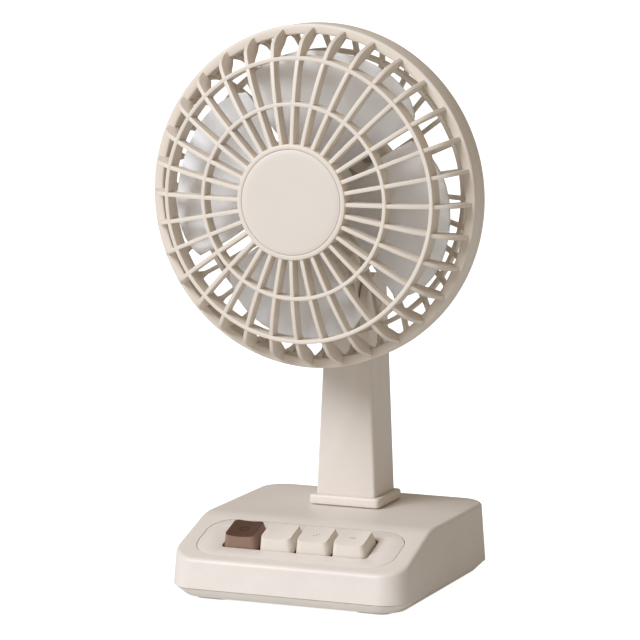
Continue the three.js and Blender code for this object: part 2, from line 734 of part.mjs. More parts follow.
function frontGrille() {
  const [in1, out1] = edges(RING_1);
  const [in2, out2] = edges(RING_2);
  const domed = [in1, out1, in2, out2, (out2 + RIM.inner) / 2];
  const sheet = (inside) => domed.map((radius) => [radius, domeAt(radius, inside)]);
  const grille = lattice({
    radii: [LATTICE_BORE, HUB.outer, ...domed, RIM.inner, RIM.outer],
    open: [1, 3, 5, 6],
    ribWidth: SPOKE_WIDTH,
    front: profile([[HUB.outer, HUB.front], ...sheet(false), [RIM.inner, RIM.front]]),
    back: profile([[HUB.outer, HUB.plateBack], ...sheet(true), [RIM.inner, RIM.seam]]),
  });
  return grille.subtract(drum(0, HUB.inner, HUB.plateFront, CAP.front, CUP_STEPS));
}

/** The cap over the hub's recess, softly crowned and with a bevelled edge. */
function hubCap() {
  const { radius, front, back, edge, crown } = CAP;
  const side = [[0, back], [radius, back], [radius, front - edge - crown], [radius - edge, front - crown]];
  return turned([...side, [radius / 2, front], [0, front]], CUP_STEPS);
}

function rearGuard() {
  const [ringIn, ringOut] = edges(REAR_RING);
  const { plate, plateFront, plateBack, bend, band, ribWidth } = REAR;
  const lattices = lattice({
    radii: [LATTICE_BORE, plate, bend, ringIn, ringOut, band, RIM.outer],
    open: [1, 2, 4],
    ribWidth,
    front: profile([
      [plate, plateFront],
      [bend, -29.6],
      [ringIn, -22.6],
      [ringOut, -21.4],
      [band, RIM.seam - GAP],
    ]),
    back: profile([[plate, plateBack], [bend, -34], [ringIn, -27], [ringOut, -25.8], [band, RIM.back]]),
  });
  const { shank } = HOUSING_SCREW;
  const hole = (angle) => axialPost(shank + GAP, angle, plateBack - 1, plateFront + 1);
  return lattices.subtract(join(HOUSING_SCREW.angles.map(hole)));
}

/** A cylinder along the head's axis at an angle on the screw circle. */
function axialPost(radius, angle, back, front, sides = 12) {
  const geometry = new THREE.CylinderGeometry(radius, radius, front - back, sides);
  const [x, z] = [HOUSING_SCREW.circle * Math.cos(angle), HOUSING_SCREW.circle * Math.sin(angle)];
  geometry.translate(x, RIM_Y - (front + back) / 2, AXIS_Z + z);
  return solid(geometry);
}

function housingScrew(angle) {
  const { shank, head, headHeight, length } = HOUSING_SCREW;
  const headBack = REAR.plateFront + GAP;
  const shankBody = axialPost(shank, angle, REAR.plateBack - length, headBack + 0.2);
  return axialPost(head, angle, headBack, headBack + headHeight).add(shankBody);
}

place("front_grille", frontGrille(), BEIGE);
place("hub_cap", hubCap(), BEIGE);
place("rear_guard", rearGuard(), BEIGE);

// ---------------------------------------------------------------- head: housing and motor

/** The neck that runs from under the cup down to the knuckle, and its wider shoulder. */
function housingNeck() {
  const { radius, front, back, neckHalfWidth } = HOUSING;
  const top = AXIS_Z - radius + 8;
  const [frontY, backY] = [RIM_Y - front, RIM_Y - back];
  const neck = polygon([
    [frontY, top],
    [frontY, top - 12],
    [HINGE.y - HINGE.knuckle, HINGE.z + 2],
    [HINGE.y + HINGE.knuckle - 0.5, HINGE.z + 3],
    [backY + 2, HINGE.z + 17],
    [backY - 3, top],
  ]);
  const shoulder = polygon([
    [frontY, top],
    [frontY, top - 9],
    [frontY + 9, top - 15],
    [backY, top - 15],
    [backY - 3, top],
  ]);
  return join([
    sidePrism(neck, -HINGE.halfWidth, HINGE.halfWidth),
    sidePrism(shoulder, -neckHalfWidth, neckHalfWidth),
    pin(HINGE.knuckle, -HINGE.halfWidth, HINGE.halfWidth, HINGE.y, HINGE.z, 36),
  ]);
}

/** The cup behind the rear guard that holds the motor, with its neck and its screw bosses. */
function motorHousing() {
  const { radius, front, back, wall, round } = HOUSING;
  const inner = radius - wall;
  const cup = turned([
    [0, back], [radius - round, back], [radius - round / 3, back + round / 3], [radius, back + round],
    [radius, front], [0, front],
  ], CUP_STEPS);
  const cavity = turned([
    [0, back + wall], [radius - round, back + wall], [inner, back + round + 1], [inner, front + 1],
    [0, front + 1],
  ], CUP_STEPS);
  let housing = cup.add(housingNeck()).subtract(cavity);
  const { angles, boss, shank, length } = HOUSING_SCREW;
  for (const angle of angles) {
    housing = housing.add(axialPost(boss, angle, back + wall, front));
    const boreBack = REAR.plateBack - length - 2;
    housing = housing.subtract(axialPost(shank + SHAFT.clearance, angle, boreBack, front + 1));
  }
  return housing.subtract(pin(HINGE.bolt + SHAFT.clearance, -radius, radius, HINGE.y, HINGE.z));
}

/** The motor's can, with a seat for a bearing at each end. */
function motorCan() {
  const { radius, front, back, bearing, bearingWidth, bore } = MOTOR;
  const seat = bearing + SHAFT.clearance;
  const step = bearingWidth + 2 * SHAFT.clearance;
  return turned([
    [seat, back], [radius, back], [radius, front - 1], [radius - 1, front], [seat, front],
    [seat, front - step], [bore, front - step], [bore, back + step], [seat, back + step],
  ], 32);
}

function bearingRing(back) {
  return drum(SHAFT.radius + SHAFT.clearance, MOTOR.bearing, back, back + MOTOR.bearingWidth, 24);
}

place("motor_housing", motorHousing(), BEIGE);
for (const [i, angle] of HOUSING_SCREW.angles.entries()) {
  place(`housing_screw_${i + 1}`, housingScrew(angle), STEEL);
}
place("motor", motorCan(), COPPER);
place("bearing_front", bearingRing(MOTOR.front - MOTOR.bearingWidth), STEEL);
place("bearing_rear", bearingRing(MOTOR.back), STEEL);

// ---------------------------------------------------------------- rotor

/** A broad petal blade: the grid of a flat box bent onto the blade's twisted face. */
function blade(angle) {
  const geometry = new THREE.BoxGeometry(2, 1, 1, 7, 5, 1);
  const spot = geometry.attributes.position;
  const root = ROTOR.hub - 1.2;
  for (let i = 0; i < spot.count; i += 1) {
    const side = spot.getX(i);
    const outward = spot.getY(i) + 0.5;
    const tip = BLADE.tip - BLADE.round * Math.abs(side) ** 5;
    const radius = root + (tip - root) * outward;
    const spread = Math.sin(Math.PI * Math.min(outward * 0.72, 0.5));
    const halfAngle = THREE.MathUtils.degToRad(31 + 9 * spread);
    const turn = angle + side * halfAngle;
    const rise = side * halfAngle * radius * (BLADE.pitch - 0.26 * outward);
    const camber = BLADE.camber * (1 - side * side) * outward;
    const skin = spot.getZ(i) * (BLADE.thickness - BLADE.thinning * outward);
    const forward = BLADE.centre + rise - camber + skin;
    spot.setXYZ(i, radius * Math.cos(turn), RIM_Y - forward, AXIS_Z + radius * Math.sin(turn));
  }
  return solid(geometry);
}

/** A hub cup with a sleeve for the shaft, and petals round it. */
function impeller() {
  const { hub, front, back, wall, sleeve, blades, firstBlade } = ROTOR;
  const bore = SHAFT.radius + SHAFT.clearance;
  const sleeveBack = front - 9;
  const cup = turned([
    [bore, sleeveBack], [sleeve, sleeveBack], [sleeve, front - wall], [hub - wall, front - wall],
    [hub - wall, back], [hub, back], [hub, front - 2], [hub - 2, front], [bore, front],
  ], CUP_STEPS);
  const hollow = drum(0, hub - wall + 0.2, 3 * back, 3 * front, CUP_STEPS);
  let whole = cup;
  for (let i = 0; i < blades; i += 1) {
    whole = whole.add(blade(THREE.MathUtils.degToRad(firstBlade + (360 * i) / blades)).subtract(hollow));
  }
  return whole;
}

place("motor_shaft", drum(0, SHAFT.radius, SHAFT.back, SHAFT.front, 24), STEEL);
place("impeller", impeller(), FROSTED);
const nutBore = SHAFT.radius + SHAFT.clearance;
const nutBack = ROTOR.front + GAP;
const nut = turned([
  [nutBore, nutBack], [NUT.radius, nutBack], [NUT.radius, NUT.front - NUT.edge],
  [NUT.radius - NUT.edge, NUT.front], [nutBore, NUT.front],
], 24);
place("impeller_nut", nut, NYLON);

export default fan;
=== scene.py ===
"""Desk fan: a ribbed round head on a square column above a sloped base with four keys.

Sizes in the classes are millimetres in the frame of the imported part: +Z is up and the front is -Y.
"""

import json
import logging
import math
from dataclasses import dataclass, replace
from enum import Enum
from typing import Any, Callable, Iterable, Iterator, Sequence

import bpy
from bpy.types import Material, Node, NodeTree, Object
from mathutils import Matrix, Quaternion, Vector


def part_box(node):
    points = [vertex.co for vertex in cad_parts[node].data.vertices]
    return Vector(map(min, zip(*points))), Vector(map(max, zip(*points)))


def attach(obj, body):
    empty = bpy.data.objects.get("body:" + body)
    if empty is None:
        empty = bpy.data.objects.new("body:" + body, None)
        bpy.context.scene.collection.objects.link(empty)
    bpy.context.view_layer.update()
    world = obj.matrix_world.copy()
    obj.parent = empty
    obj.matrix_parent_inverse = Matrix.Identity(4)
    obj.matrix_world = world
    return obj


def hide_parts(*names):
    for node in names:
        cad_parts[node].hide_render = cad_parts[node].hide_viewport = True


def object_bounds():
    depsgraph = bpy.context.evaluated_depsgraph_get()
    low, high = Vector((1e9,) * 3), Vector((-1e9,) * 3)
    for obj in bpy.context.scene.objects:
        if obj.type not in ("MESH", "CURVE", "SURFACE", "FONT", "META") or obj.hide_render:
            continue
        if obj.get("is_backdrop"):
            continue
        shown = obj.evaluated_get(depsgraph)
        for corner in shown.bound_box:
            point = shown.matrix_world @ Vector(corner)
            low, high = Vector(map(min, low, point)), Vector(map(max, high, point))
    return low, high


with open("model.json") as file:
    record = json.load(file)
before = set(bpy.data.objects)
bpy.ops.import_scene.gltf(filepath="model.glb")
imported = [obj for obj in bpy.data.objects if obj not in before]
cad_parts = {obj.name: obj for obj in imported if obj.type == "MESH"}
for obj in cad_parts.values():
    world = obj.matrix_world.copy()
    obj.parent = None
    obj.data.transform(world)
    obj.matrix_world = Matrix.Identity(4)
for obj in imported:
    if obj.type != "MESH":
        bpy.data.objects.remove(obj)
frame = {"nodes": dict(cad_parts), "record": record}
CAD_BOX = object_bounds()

LOG = logging.getLogger("desk_fan")
MM = 0.001
SMOOTH_ANGLE = 32.0
SHARE_UPRIGHT = 0.99
SHARE_ALONG = 0.9
NEAR = 0.05
BOLT_HOLE = 2.6
ARC_STEPS = 40
TOP_STEPS = 48
ROUND_STEPS = 8
GRAIN_FINENESS = 2600.0
GRAIN_PATCHES = 28.0
GLOSS_DRIFT = 0.07
BUMP_DEPTH = 0.05

Point = tuple[float, float]
Colour = tuple[float, float, float]
Test = Callable[[Vector, Vector], bool]
Socket = str | int
Wire = tuple[Node, Socket, Node, Socket]


# ------------------------------------------------------------------ workshop


class Feature(Enum):
    """What an edit selects."""

    VERTEX = "VERT"
    EDGE = "EDGE"
    FACE = "FACE"


class Combine(Enum):
    """How a tool body acts on a piece."""

    ADD = "UNION"
    REMOVE = "DIFFERENCE"
    KEEP = "INTERSECT"


class Axis(Enum):
    """A direction of the fan."""

    X = (1.0, 0.0, 0.0)
    Y = (0.0, 1.0, 0.0)
    Z = (0.0, 0.0, 1.0)


def mm(x: float, y: float, z: float) -> Vector:
    """A place given in millimetres."""
    return Vector((x, y, z)) * MM


def only(obj: Object) -> None:
    """Makes a piece the only one selected, in object mode."""
    if bpy.context.mode != "OBJECT":
        bpy.ops.object.mode_set(mode="OBJECT")
    bpy.ops.object.select_all(action="DESELECT")
    obj.select_set(True)
    bpy.context.view_layer.objects.active = obj


def open_edit(obj: Object, feature: Feature = Feature.VERTEX) -> None:
    """Opens a piece for editing with all of it selected."""
    only(obj)
    bpy.ops.object.mode_set(mode="EDIT")
    bpy.ops.mesh.select_mode(type=feature.value)
    bpy.ops.mesh.select_all(action="SELECT")


def close_edit() -> None:
    """Ends editing."""
    bpy.ops.object.mode_set(mode="OBJECT")


def pick(obj: Object, feature: Feature, test: Test) -> None:
    """Opens a piece for editing with only some of its features selected.

    Args:
        obj: The piece.
        feature: What is selected.
        test: Takes a feature's middle in millimetres and its direction, and says if it is wanted.
    """
    open_edit(obj, feature)
    bpy.ops.mesh.select_all(action="DESELECT")
    close_edit()
    mesh = obj.data
    if feature is Feature.VERTEX:
        for vertex in mesh.vertices:
            vertex.select = test(vertex.co / MM, vertex.normal)
    elif feature is Feature.EDGE:
        for edge in mesh.edges:
            a, b = (mesh.vertices[i].co for i in edge.vertices)
            edge.select = test((a + b) / (2 * MM), (b - a).normalized())
    else:
        for face in mesh.polygons:
            face.select = test(face.center / MM, face.normal)
    bpy.ops.object.mode_set(mode="EDIT")


def settle(obj: Object, name: str) -> Object:
    """Names a new piece and moves its place, turn and size into its mesh.

    Args:
        obj: The piece.
        name: Its name.

    Returns:
        The piece.
    """
    obj.name = name.replace(" ", "_")
    only(obj)
    bpy.ops.object.transform_apply(location=True, rotation=True, scale=True)
    return obj


def start() -> None:
    """Deselects everything before a new body is added."""
    if bpy.context.mode != "OBJECT":
        bpy.ops.object.mode_set(mode="OBJECT")
    bpy.ops.object.select_all(action="DESELECT")


def block(name: str, low: Sequence[float], high: Sequence[float]) -> Object:
    """A box between two corners.

    Args:
        name: The piece's name.
        low: Its lowest corner in millimetres.
        high: Its highest corner in millimetres.

    Returns:
        The box.
    """
    start()
    low_corner, high_corner = Vector(low), Vector(high)
    bpy.ops.mesh.primitive_cube_add(size=MM, location=(low_corner + high_corner) / 2 * MM)
    obj = bpy.context.object
    obj.scale = high_corner - low_corner
    return settle(obj, name)


def rod(name: str, radius: float, ends: Point, centre: Sequence[float], axis: Axis, sides: int = 48) -> Object:
    """A round bar along an axis.

    Args:
        name: The piece's name.
        radius: Its radius.
        ends: Where it starts and ends along the axis.
        centre: A point on its axis. Its coordinate along the axis isn't used.
        axis: Its direction.
        sides: How many flats it has.

    Returns:
        The bar.
    """
    start()
    direction = Vector(axis.value)
    middle = Vector(centre) - direction * Vector(centre).dot(direction)
    middle += direction * (ends[0] + ends[1]) / 2
    bpy.ops.mesh.primitive_cylinder_add(
        vertices=sides, radius=radius * MM, depth=(ends[1] - ends[0]) * MM, location=middle * MM
    )
    obj = bpy.context.object
    obj.rotation_mode = "QUATERNION"
    obj.rotation_quaternion = direction.to_track_quat("Z", "Y")
    return settle(obj, name)


def chain(name: str, points: Sequence[Vector]) -> Object:
    """A wire drawn from point to point.

    Args:
        name: The piece's name.
        points: Its points in millimetres.

    Returns:
        The wire, open for editing with its last point selected.
    """
    start()
    bpy.ops.mesh.primitive_plane_add(size=MM, location=points[0] * MM)
    obj = settle(bpy.context.object, name)
    open_edit(obj)
    bpy.ops.mesh.merge(type="CENTER")
    for here, there in zip(points, points[1:]):
        bpy.ops.mesh.extrude_region_move(TRANSFORM_OT_translate={"value": (there - here) * MM})
    return obj


def plate(name: str, points: Sequence[Vector], thickness: Vector) -> Object:
    """A flat plate cut to an outline.

    Args:
        name: The piece's name.
        points: Its outline in millimetres.
        thickness: Its thickness as a step in millimetres.

    Returns:
        The plate.
    """
    obj = chain(name, points)
    bpy.ops.mesh.select_all(action="SELECT")
    bpy.ops.mesh.edge_face_add()
    bpy.ops.mesh.extrude_region_move(TRANSFORM_OT_translate={"value": thickness * MM})
    bpy.ops.mesh.select_all(action="SELECT")
    bpy.ops.mesh.normals_make_consistent(inside=False)
    close_edit()
    return obj


def runs(axis: Axis, share: float = SHARE_ALONG) -> Test:
    """A test for edges that run along an axis, by the share of their direction on it."""
    return lambda middle, along: abs(along.dot(Vector(axis.value))) > share


def round_edges(obj: Object, test: Test, radius: float, segments: int, clamp: bool = False) -> Object:
    """Rounds the edges of a piece that pass a test.

    Args:
        obj: The piece.
        test: Says if an edge is rounded, as for pick.
        radius: The radius of the round.
        segments: How many facets it has.
        clamp: True to stop the round where it meets another.

    Returns:
        The piece.
    """
    pick(obj, Feature.EDGE, test)
    bpy.ops.mesh.bevel(offset=radius * MM, segments=segments, affect="EDGES", clamp_overlap=clamp)
    close_edit()
    return obj


def modify(obj: Object, kind: str, **settings: Any) -> Object:
    """Changes a piece by one modifier.

    Args:
        obj: The piece.
        kind: The modifier's type.
        settings: Its settings.

    Returns:
        The piece.
    """
    modifier = obj.modifiers.new(kind.lower(), kind)
    for name, value in settings.items():
        setattr(modifier, name, value)
    only(obj)
    bpy.ops.object.modifier_apply(modifier=modifier.name)
    return obj


def soften(obj: Object, width: float, segments: int = 3, angle: float = 30.0) -> Object:
    """Rounds the sharp edges of a piece.

    Args:
        obj: The piece.
        width: The radius of the round.
        segments: How many facets it has.
        angle: The least angle between faces that counts as sharp.

    Returns:
        The piece.
    """
    limit = math.radians(angle)
    return modify(obj, "BEVEL", width=width * MM, segments=segments, limit_method="ANGLE", angle_limit=limit)


def combine(obj: Object, tool: Object, how: Combine) -> Object:
    """Joins a tool body to a piece or cuts the piece with it. The tool is used up.

    Args:
        obj: The piece.
        tool: The other body.
        how: What is done.

    Returns:
        The piece.
    """
    modify(obj, "BOOLEAN", operation=how.value, solver="EXACT", object=tool)
    bpy.data.objects.remove(tool, do_unlink=True)
    return obj


def merge(obj: Object, others: Iterable[Object]) -> Object:
    """Puts several pieces into one mesh.

    Args:
        obj: The piece that keeps its name.
        others: The pieces that join it.

    Returns:
        The piece.
    """
    only(obj)
    for other in others:
        other.select_set(True)
    bpy.ops.object.join()
    return obj


def copy_moved(obj: Object, name: str, move: Matrix) -> Object:
    """A copy of a piece with its own mesh, in another place.

    Args:
        obj: The piece.
        name: The copy's name.
        move: Where it goes.

    Returns:
        The copy.
    """
    twin = obj.copy()
    twin.data = obj.data.copy()
    bpy.context.collection.objects.link(twin)
    twin.matrix_world = move @ obj.matrix_world
    return settle(twin, name)


def rounded_block(name: str, low: Sequence[float], high: Sequence[float], corner: float, facets: int = 8) -> Object:
    """A box whose upright edges are rounded.

    Args:
        name: The piece's name.
        low: Its lowest corner.
        high: Its highest corner.
        corner: The radius of its upright edges.
        facets: How many facets each has.

    Returns:
        The block.
    """
    return round_edges(block(name, low, high), runs(Axis.Z, SHARE_UPRIGHT), corner, facets)


def taper(obj: Object, height: float, factor_x: float, factor_y: float, centre_y: float = 0.0) -> Object:
    """Narrows or widens a piece at one height.

    Args:
        obj: The piece.
        height: The height whose points move.
        factor_x: The new width over the old.
        factor_y: The new depth over the old.
        centre_y: The Y that stays in place.

    Returns:
        The piece.
    """
    pick(obj, Feature.VERTEX, lambda spot, normal: abs(spot.z - height) < 0.01)
    bpy.ops.transform.resize(value=(factor_x, factor_y, 1.0), center_override=mm(0, centre_y, height))
    close_edit()
    return obj


def deliver(obj: Object, body: str, nodes: Sequence[str], finish: Material) -> Object:
    """Closes, shades and dresses a piece and ties it to the part.

    Args:
        obj: The piece.
        body: The moving body it rides on.
        nodes: The solids it stands for.
        finish: Its material.

    Returns:
        The piece.
    """
    open_edit(obj)
    bpy.ops.mesh.remove_doubles(threshold=0.0002 * MM)
    bpy.ops.mesh.normals_make_consistent(inside=False)
    close_edit()
    bpy.ops.object.shade_smooth_by_angle(angle=math.radians(SMOOTH_ANGLE))
    obj.data.materials.clear()
    obj.data.materials.append(finish)
    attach(obj, body)
    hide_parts(*nodes)
    LOG.info("%s: %d faces for %s", obj.name, len(obj.data.polygons), ", ".join(nodes))
    return obj


# ------------------------------------------------------------------ finishes


def linear(colour: Colour) -> tuple[float, float, float, float]:
    """A screen colour from 0 to 255 as the linear colour a shader takes."""
    parts = []
    for part in colour:
        share = part / 255
        parts.append(share / 12.92 if share <= 0.04045 else ((share + 0.055) / 1.055) ** 2.4)
    return (parts[0], parts[1], parts[2], 1.0)


class Wiring:
    """A node tree with short ways to fill it."""

    def __init__(self, tree: NodeTree) -> None:
        """Takes the tree that is filled."""
        self.tree = tree

    def add(self, kind: str, values: dict[Socket, Any] | None = None, **settings: Any) -> Node:
        """A new node.

        Args:
            kind: Its type, without the prefix that all shader nodes have.
            values: Its input values.
            settings: Its other settings.

        Returns:
            The node.
        """
        node = self.tree.nodes.new(f"ShaderNode{kind}")
        for name, value in settings.items():
            setattr(node, name, value)
        return self.fill(node, values or {})

    @staticmethod
    def fill(node: Node, values: dict[Socket, Any]) -> Node:
        """Sets a node's input values."""
        for socket, value in values.items():
            node.inputs[socket].default_value = value
        return node

    def join(self, *wires: Wire) -> None:
        """Joins outputs to inputs, each wire given as node, output, node and input."""
        for source, output, target, socket in wires:
            self.tree.links.new(source.outputs[output], target.inputs[socket])


class Effects:
    """Shader node groups that several finishes share."""

    def __init__(self) -> None:
        """Builds each group once."""
        self.grain = self._grain()
        self.wear_and_highlight = self._wear_and_highlight()

    @staticmethod
    def _group(name: str, inputs: dict[str, float], outputs: Sequence[str]) -> NodeTree:
        """An empty group with its sockets.

        Args:
            name: The group's name.
            inputs: Its number inputs and their usual values.
            outputs: Its number outputs.

        Returns:
            The group.
        """
        tree = bpy.data.node_groups.new(name, "ShaderNodeTree")
        for socket, value in inputs.items():
            number = tree.interface.new_socket(name=socket, in_out="INPUT", socket_type="NodeSocketFloat")
            number.default_value = value
        for socket in outputs:
            tree.interface.new_socket(name=socket, in_out="OUTPUT", socket_type="NodeSocketFloat")
        tree.nodes.new("NodeGroupInput").name = "in"
        tree.nodes.new("NodeGroupOutput").name = "out"
        return tree

    def _grain(self) -> NodeTree:
        """The fine spark-eroded grain of a moulded surface, with slow patches over it."""
        inputs = {"Fineness": GRAIN_FINENESS, "Patches": GRAIN_PATCHES}
        tree = self._group("moulded grain", inputs, ["Height", "Patch"])
        enter, leave = tree.nodes["in"], tree.nodes["out"]
        wiring = Wiring(tree)
        place = wiring.add("TexCoord")
        fine = wiring.add("TexNoise", {"Detail": 3.0, "Roughness": 0.62})
        pits = wiring.add("TexVoronoi", feature="SMOOTH_F1")
        slow = wiring.add("TexNoise", {"Detail": 5.0})
        blend = wiring.add("Math", {1: 0.35}, operation="MULTIPLY_ADD")
        wiring.join(
            *((place, "Object", texture, "Vector") for texture in (fine, pits, slow)),
            (enter, "Fineness", fine, "Scale"),
            (enter, "Fineness", pits, "Scale"),
            (enter, "Patches", slow, "Scale"),
            (pits, "Distance", blend, 0),
            (fine, "Fac", blend, 2),
            (blend, 0, leave, "Height"),
            (slow, "Fac", leave, "Patch"),
        )
        return tree

    def _wear_and_highlight(self) -> NodeTree:
        """A mask of the rubbed edges, broken up so that it isn't even; on the brown keycap it also lays a painted
        highlight along the edges.
        """
        tree = self._group("edge wear", {"Amount": 0.5, "Break": 160.0}, ["Mask"])
        enter, leave = tree.nodes["in"], tree.nodes["out"]
        wiring = Wiring(tree)
        geometry = wiring.add("NewGeometry")
        place = wiring.add("TexCoord")
        noise = wiring.add("TexNoise", {"Detail": 6.0})
        edge = wiring.add("MapRange", {"From Min": 0.505, "From Max": 0.56})
        broken = wiring.add("Math", operation="MULTIPLY")
        amount = wiring.add("Math", operation="MULTIPLY", use_clamp=True)
        wiring.join(
            (place, "Object", noise, "Vector"),
            (enter, "Break", noise, "Scale"),
            (geometry, "Pointiness", edge, "Value"),
            (edge, "Result", broken, 0),
            (noise, "Fac", broken, 1),
            (broken, 0, amount, 0),
            (enter, "Amount", amount, 1),
            (amount, 0, leave, "Mask"),
        )
        return tree


@dataclass(frozen=True)
class Finish:
    """A surface finish: its colour, gloss, grain and edge wear, which on the brown keycap is also a painted
    highlight.
    """

    name: str
    colour: Colour
    worn_and_highlight: Colour
    roughness: float
    patch_depth: float = 0.05
    fineness: float = GRAIN_FINENESS
    patches: float = GRAIN_PATCHES
    bump: float = 0.12
    wear_and_highlight: float = 0.5
    metallic: float = 0.0
    transmission: float = 0.0
    specular: float = 0.5

    def build(self, effects: Effects) -> Material:
        """Makes the material.

        Args:
            effects: The shared node groups.

        Returns:
            The material.
        """
        material = bpy.data.materials.new(self.name)
        material.use_nodes = True
        wiring = Wiring(material.node_tree)
        shader = wiring.fill(wiring.tree.nodes["Principled BSDF"], {
            "Metallic": self.metallic,
            "Transmission Weight": self.transmission,
            "Specular IOR Level": self.specular,
        })
        detail = {"Fineness": self.fineness, "Patches": self.patches}
        grain = wiring.add("Group", detail, node_tree=effects.grain)
        wear_and_highlight = wiring.add("Group", {"Amount": self.wear_and_highlight}, node_tree=effects.wear_and_highlight)
        drift = self._mix(wiring, self.colour, tuple(part * (1 - self.patch_depth) for part in self.colour))
        edges = self._mix(wiring, self.colour, self.worn_and_highlight)
        low, high = self.roughness - GLOSS_DRIFT, self.roughness + GLOSS_DRIFT
        gloss = wiring.add("MapRange", {"To Min": low, "To Max": high})
        bump = wiring.add("Bump", {"Strength": self.bump, "Distance": BUMP_DEPTH * MM})
        wiring.join(
            (grain, "Patch", drift, "Factor"),
            (wear_and_highlight, "Mask", edges, "Factor"),
            (drift, "Result", edges, "A"),
            (edges, "Result", shader, "Base Color"),
            (grain, "Patch", gloss, "Value"),
            (gloss, "Result", shader, "Roughness"),
            (grain, "Height", bump, "Height"),
            (bump, "Normal", shader, "Normal"),
        )
        return material

    @staticmethod
    def _mix(wiring: Wiring, first: Colour, second: Colour) -> Node:
        """A node that blends two colours.

        Args:
            wiring: The material's nodes.
            first: The colour at 0.
            second: The colour at 1.

        Returns:
            The mix node.
        """
        node = wiring.add("Mix", data_type="RGBA")
        colours = [socket for socket in node.inputs if socket.type == "RGBA"]
        for socket, colour in zip(colours, (first, second)):
            socket.default_value = linear(colour)
        return node


class Finishes:
    """Every material of the fan."""

    def __init__(self) -> None:
        """Builds the shared effects and the materials."""
        effects = Effects()
        beige: Colour = (229, 219, 207)
        self.shell = Finish("beige moulded shell", beige, (240, 233, 225), 0.43, 0.035).build(effects)
        self.grille = Finish("beige grille", (229, 217, 201), (240, 231, 219), 0.5, 0.035).build(effects)
        self.column = Finish("beige column", beige, (240, 233, 225), 0.46, 0.03, patches=16.0).build(effects)
        self.tray = Finish("beige tray", (243, 235, 224), (248, 242, 234), 0.56, 0.05).build(effects)
        self.key = Finish("beige keycap", (232, 222, 209), (243, 236, 226), 0.48, 0.03, 3400.0).build(effects)
        # The brown keycap's pale worn colour and high wear amount paint a highlight along its edges as well as wear.
        brown = Finish("brown keycap", (82, 53, 39), (168, 138, 116), 0.46, 0.1, 3400.0, wear_and_highlight=0.8, specular=0.22)
        self.brown = brown.build(effects)
        # The brown keycap's sides take a lighter brown: painted sheen for the light its glossy sides reflect.
        self.brown_side = replace(brown, name="brown keycap side", colour=(150, 122, 105)).build(effects)
        self.mark_dark = Finish("dark mark", (38, 24, 18), (60, 42, 33), 0.6, 0.1, 3400.0).build(effects)
        self.mark_grey = Finish("grey mark", (150, 139, 124), (168, 157, 143), 0.6, 0.1, 3400.0).build(effects)
        # The blade's near-white colour is lighter than the blade itself: painted light that makes up for the shade
        # the grille casts on it.
        self.blade = Finish(
            "frosted blade painted light", (251, 250, 249), (254, 254, 254), 0.5, 0.03, 1800.0, 20.0, 0.06, 0.8, transmission=0.38
        ).build(effects)
        self.steel = Finish(
            "zinc plated steel", (184, 188, 192), (222, 224, 226), 0.34, 0.12, 900.0, 90.0, 0.1, 0.6, metallic=1.0
        ).build(effects)
        self.board = Finish("board lacquer", (44, 90, 60), (70, 120, 84), 0.38, 0.2, 700.0).build(effects)
        self.black = Finish("black plastic", (38, 38, 39), (70, 70, 71), 0.5, 0.15).build(effects)
        self.wrap = Finish("blue cell wrap", (58, 110, 165), (96, 144, 190), 0.3, 0.12, 500.0).build(effects)
        self.can = Finish(
            "plated motor can", (172, 160, 146), (205, 196, 184), 0.32, 0.15, 900.0, 70.0, 0.1, metallic=1.0
        ).build(effects)
        self.nylon = Finish("natural nylon", (222, 218, 208), (236, 233, 226), 0.44, 0.06).build(effects)


# ------------------------------------------------------------------ base


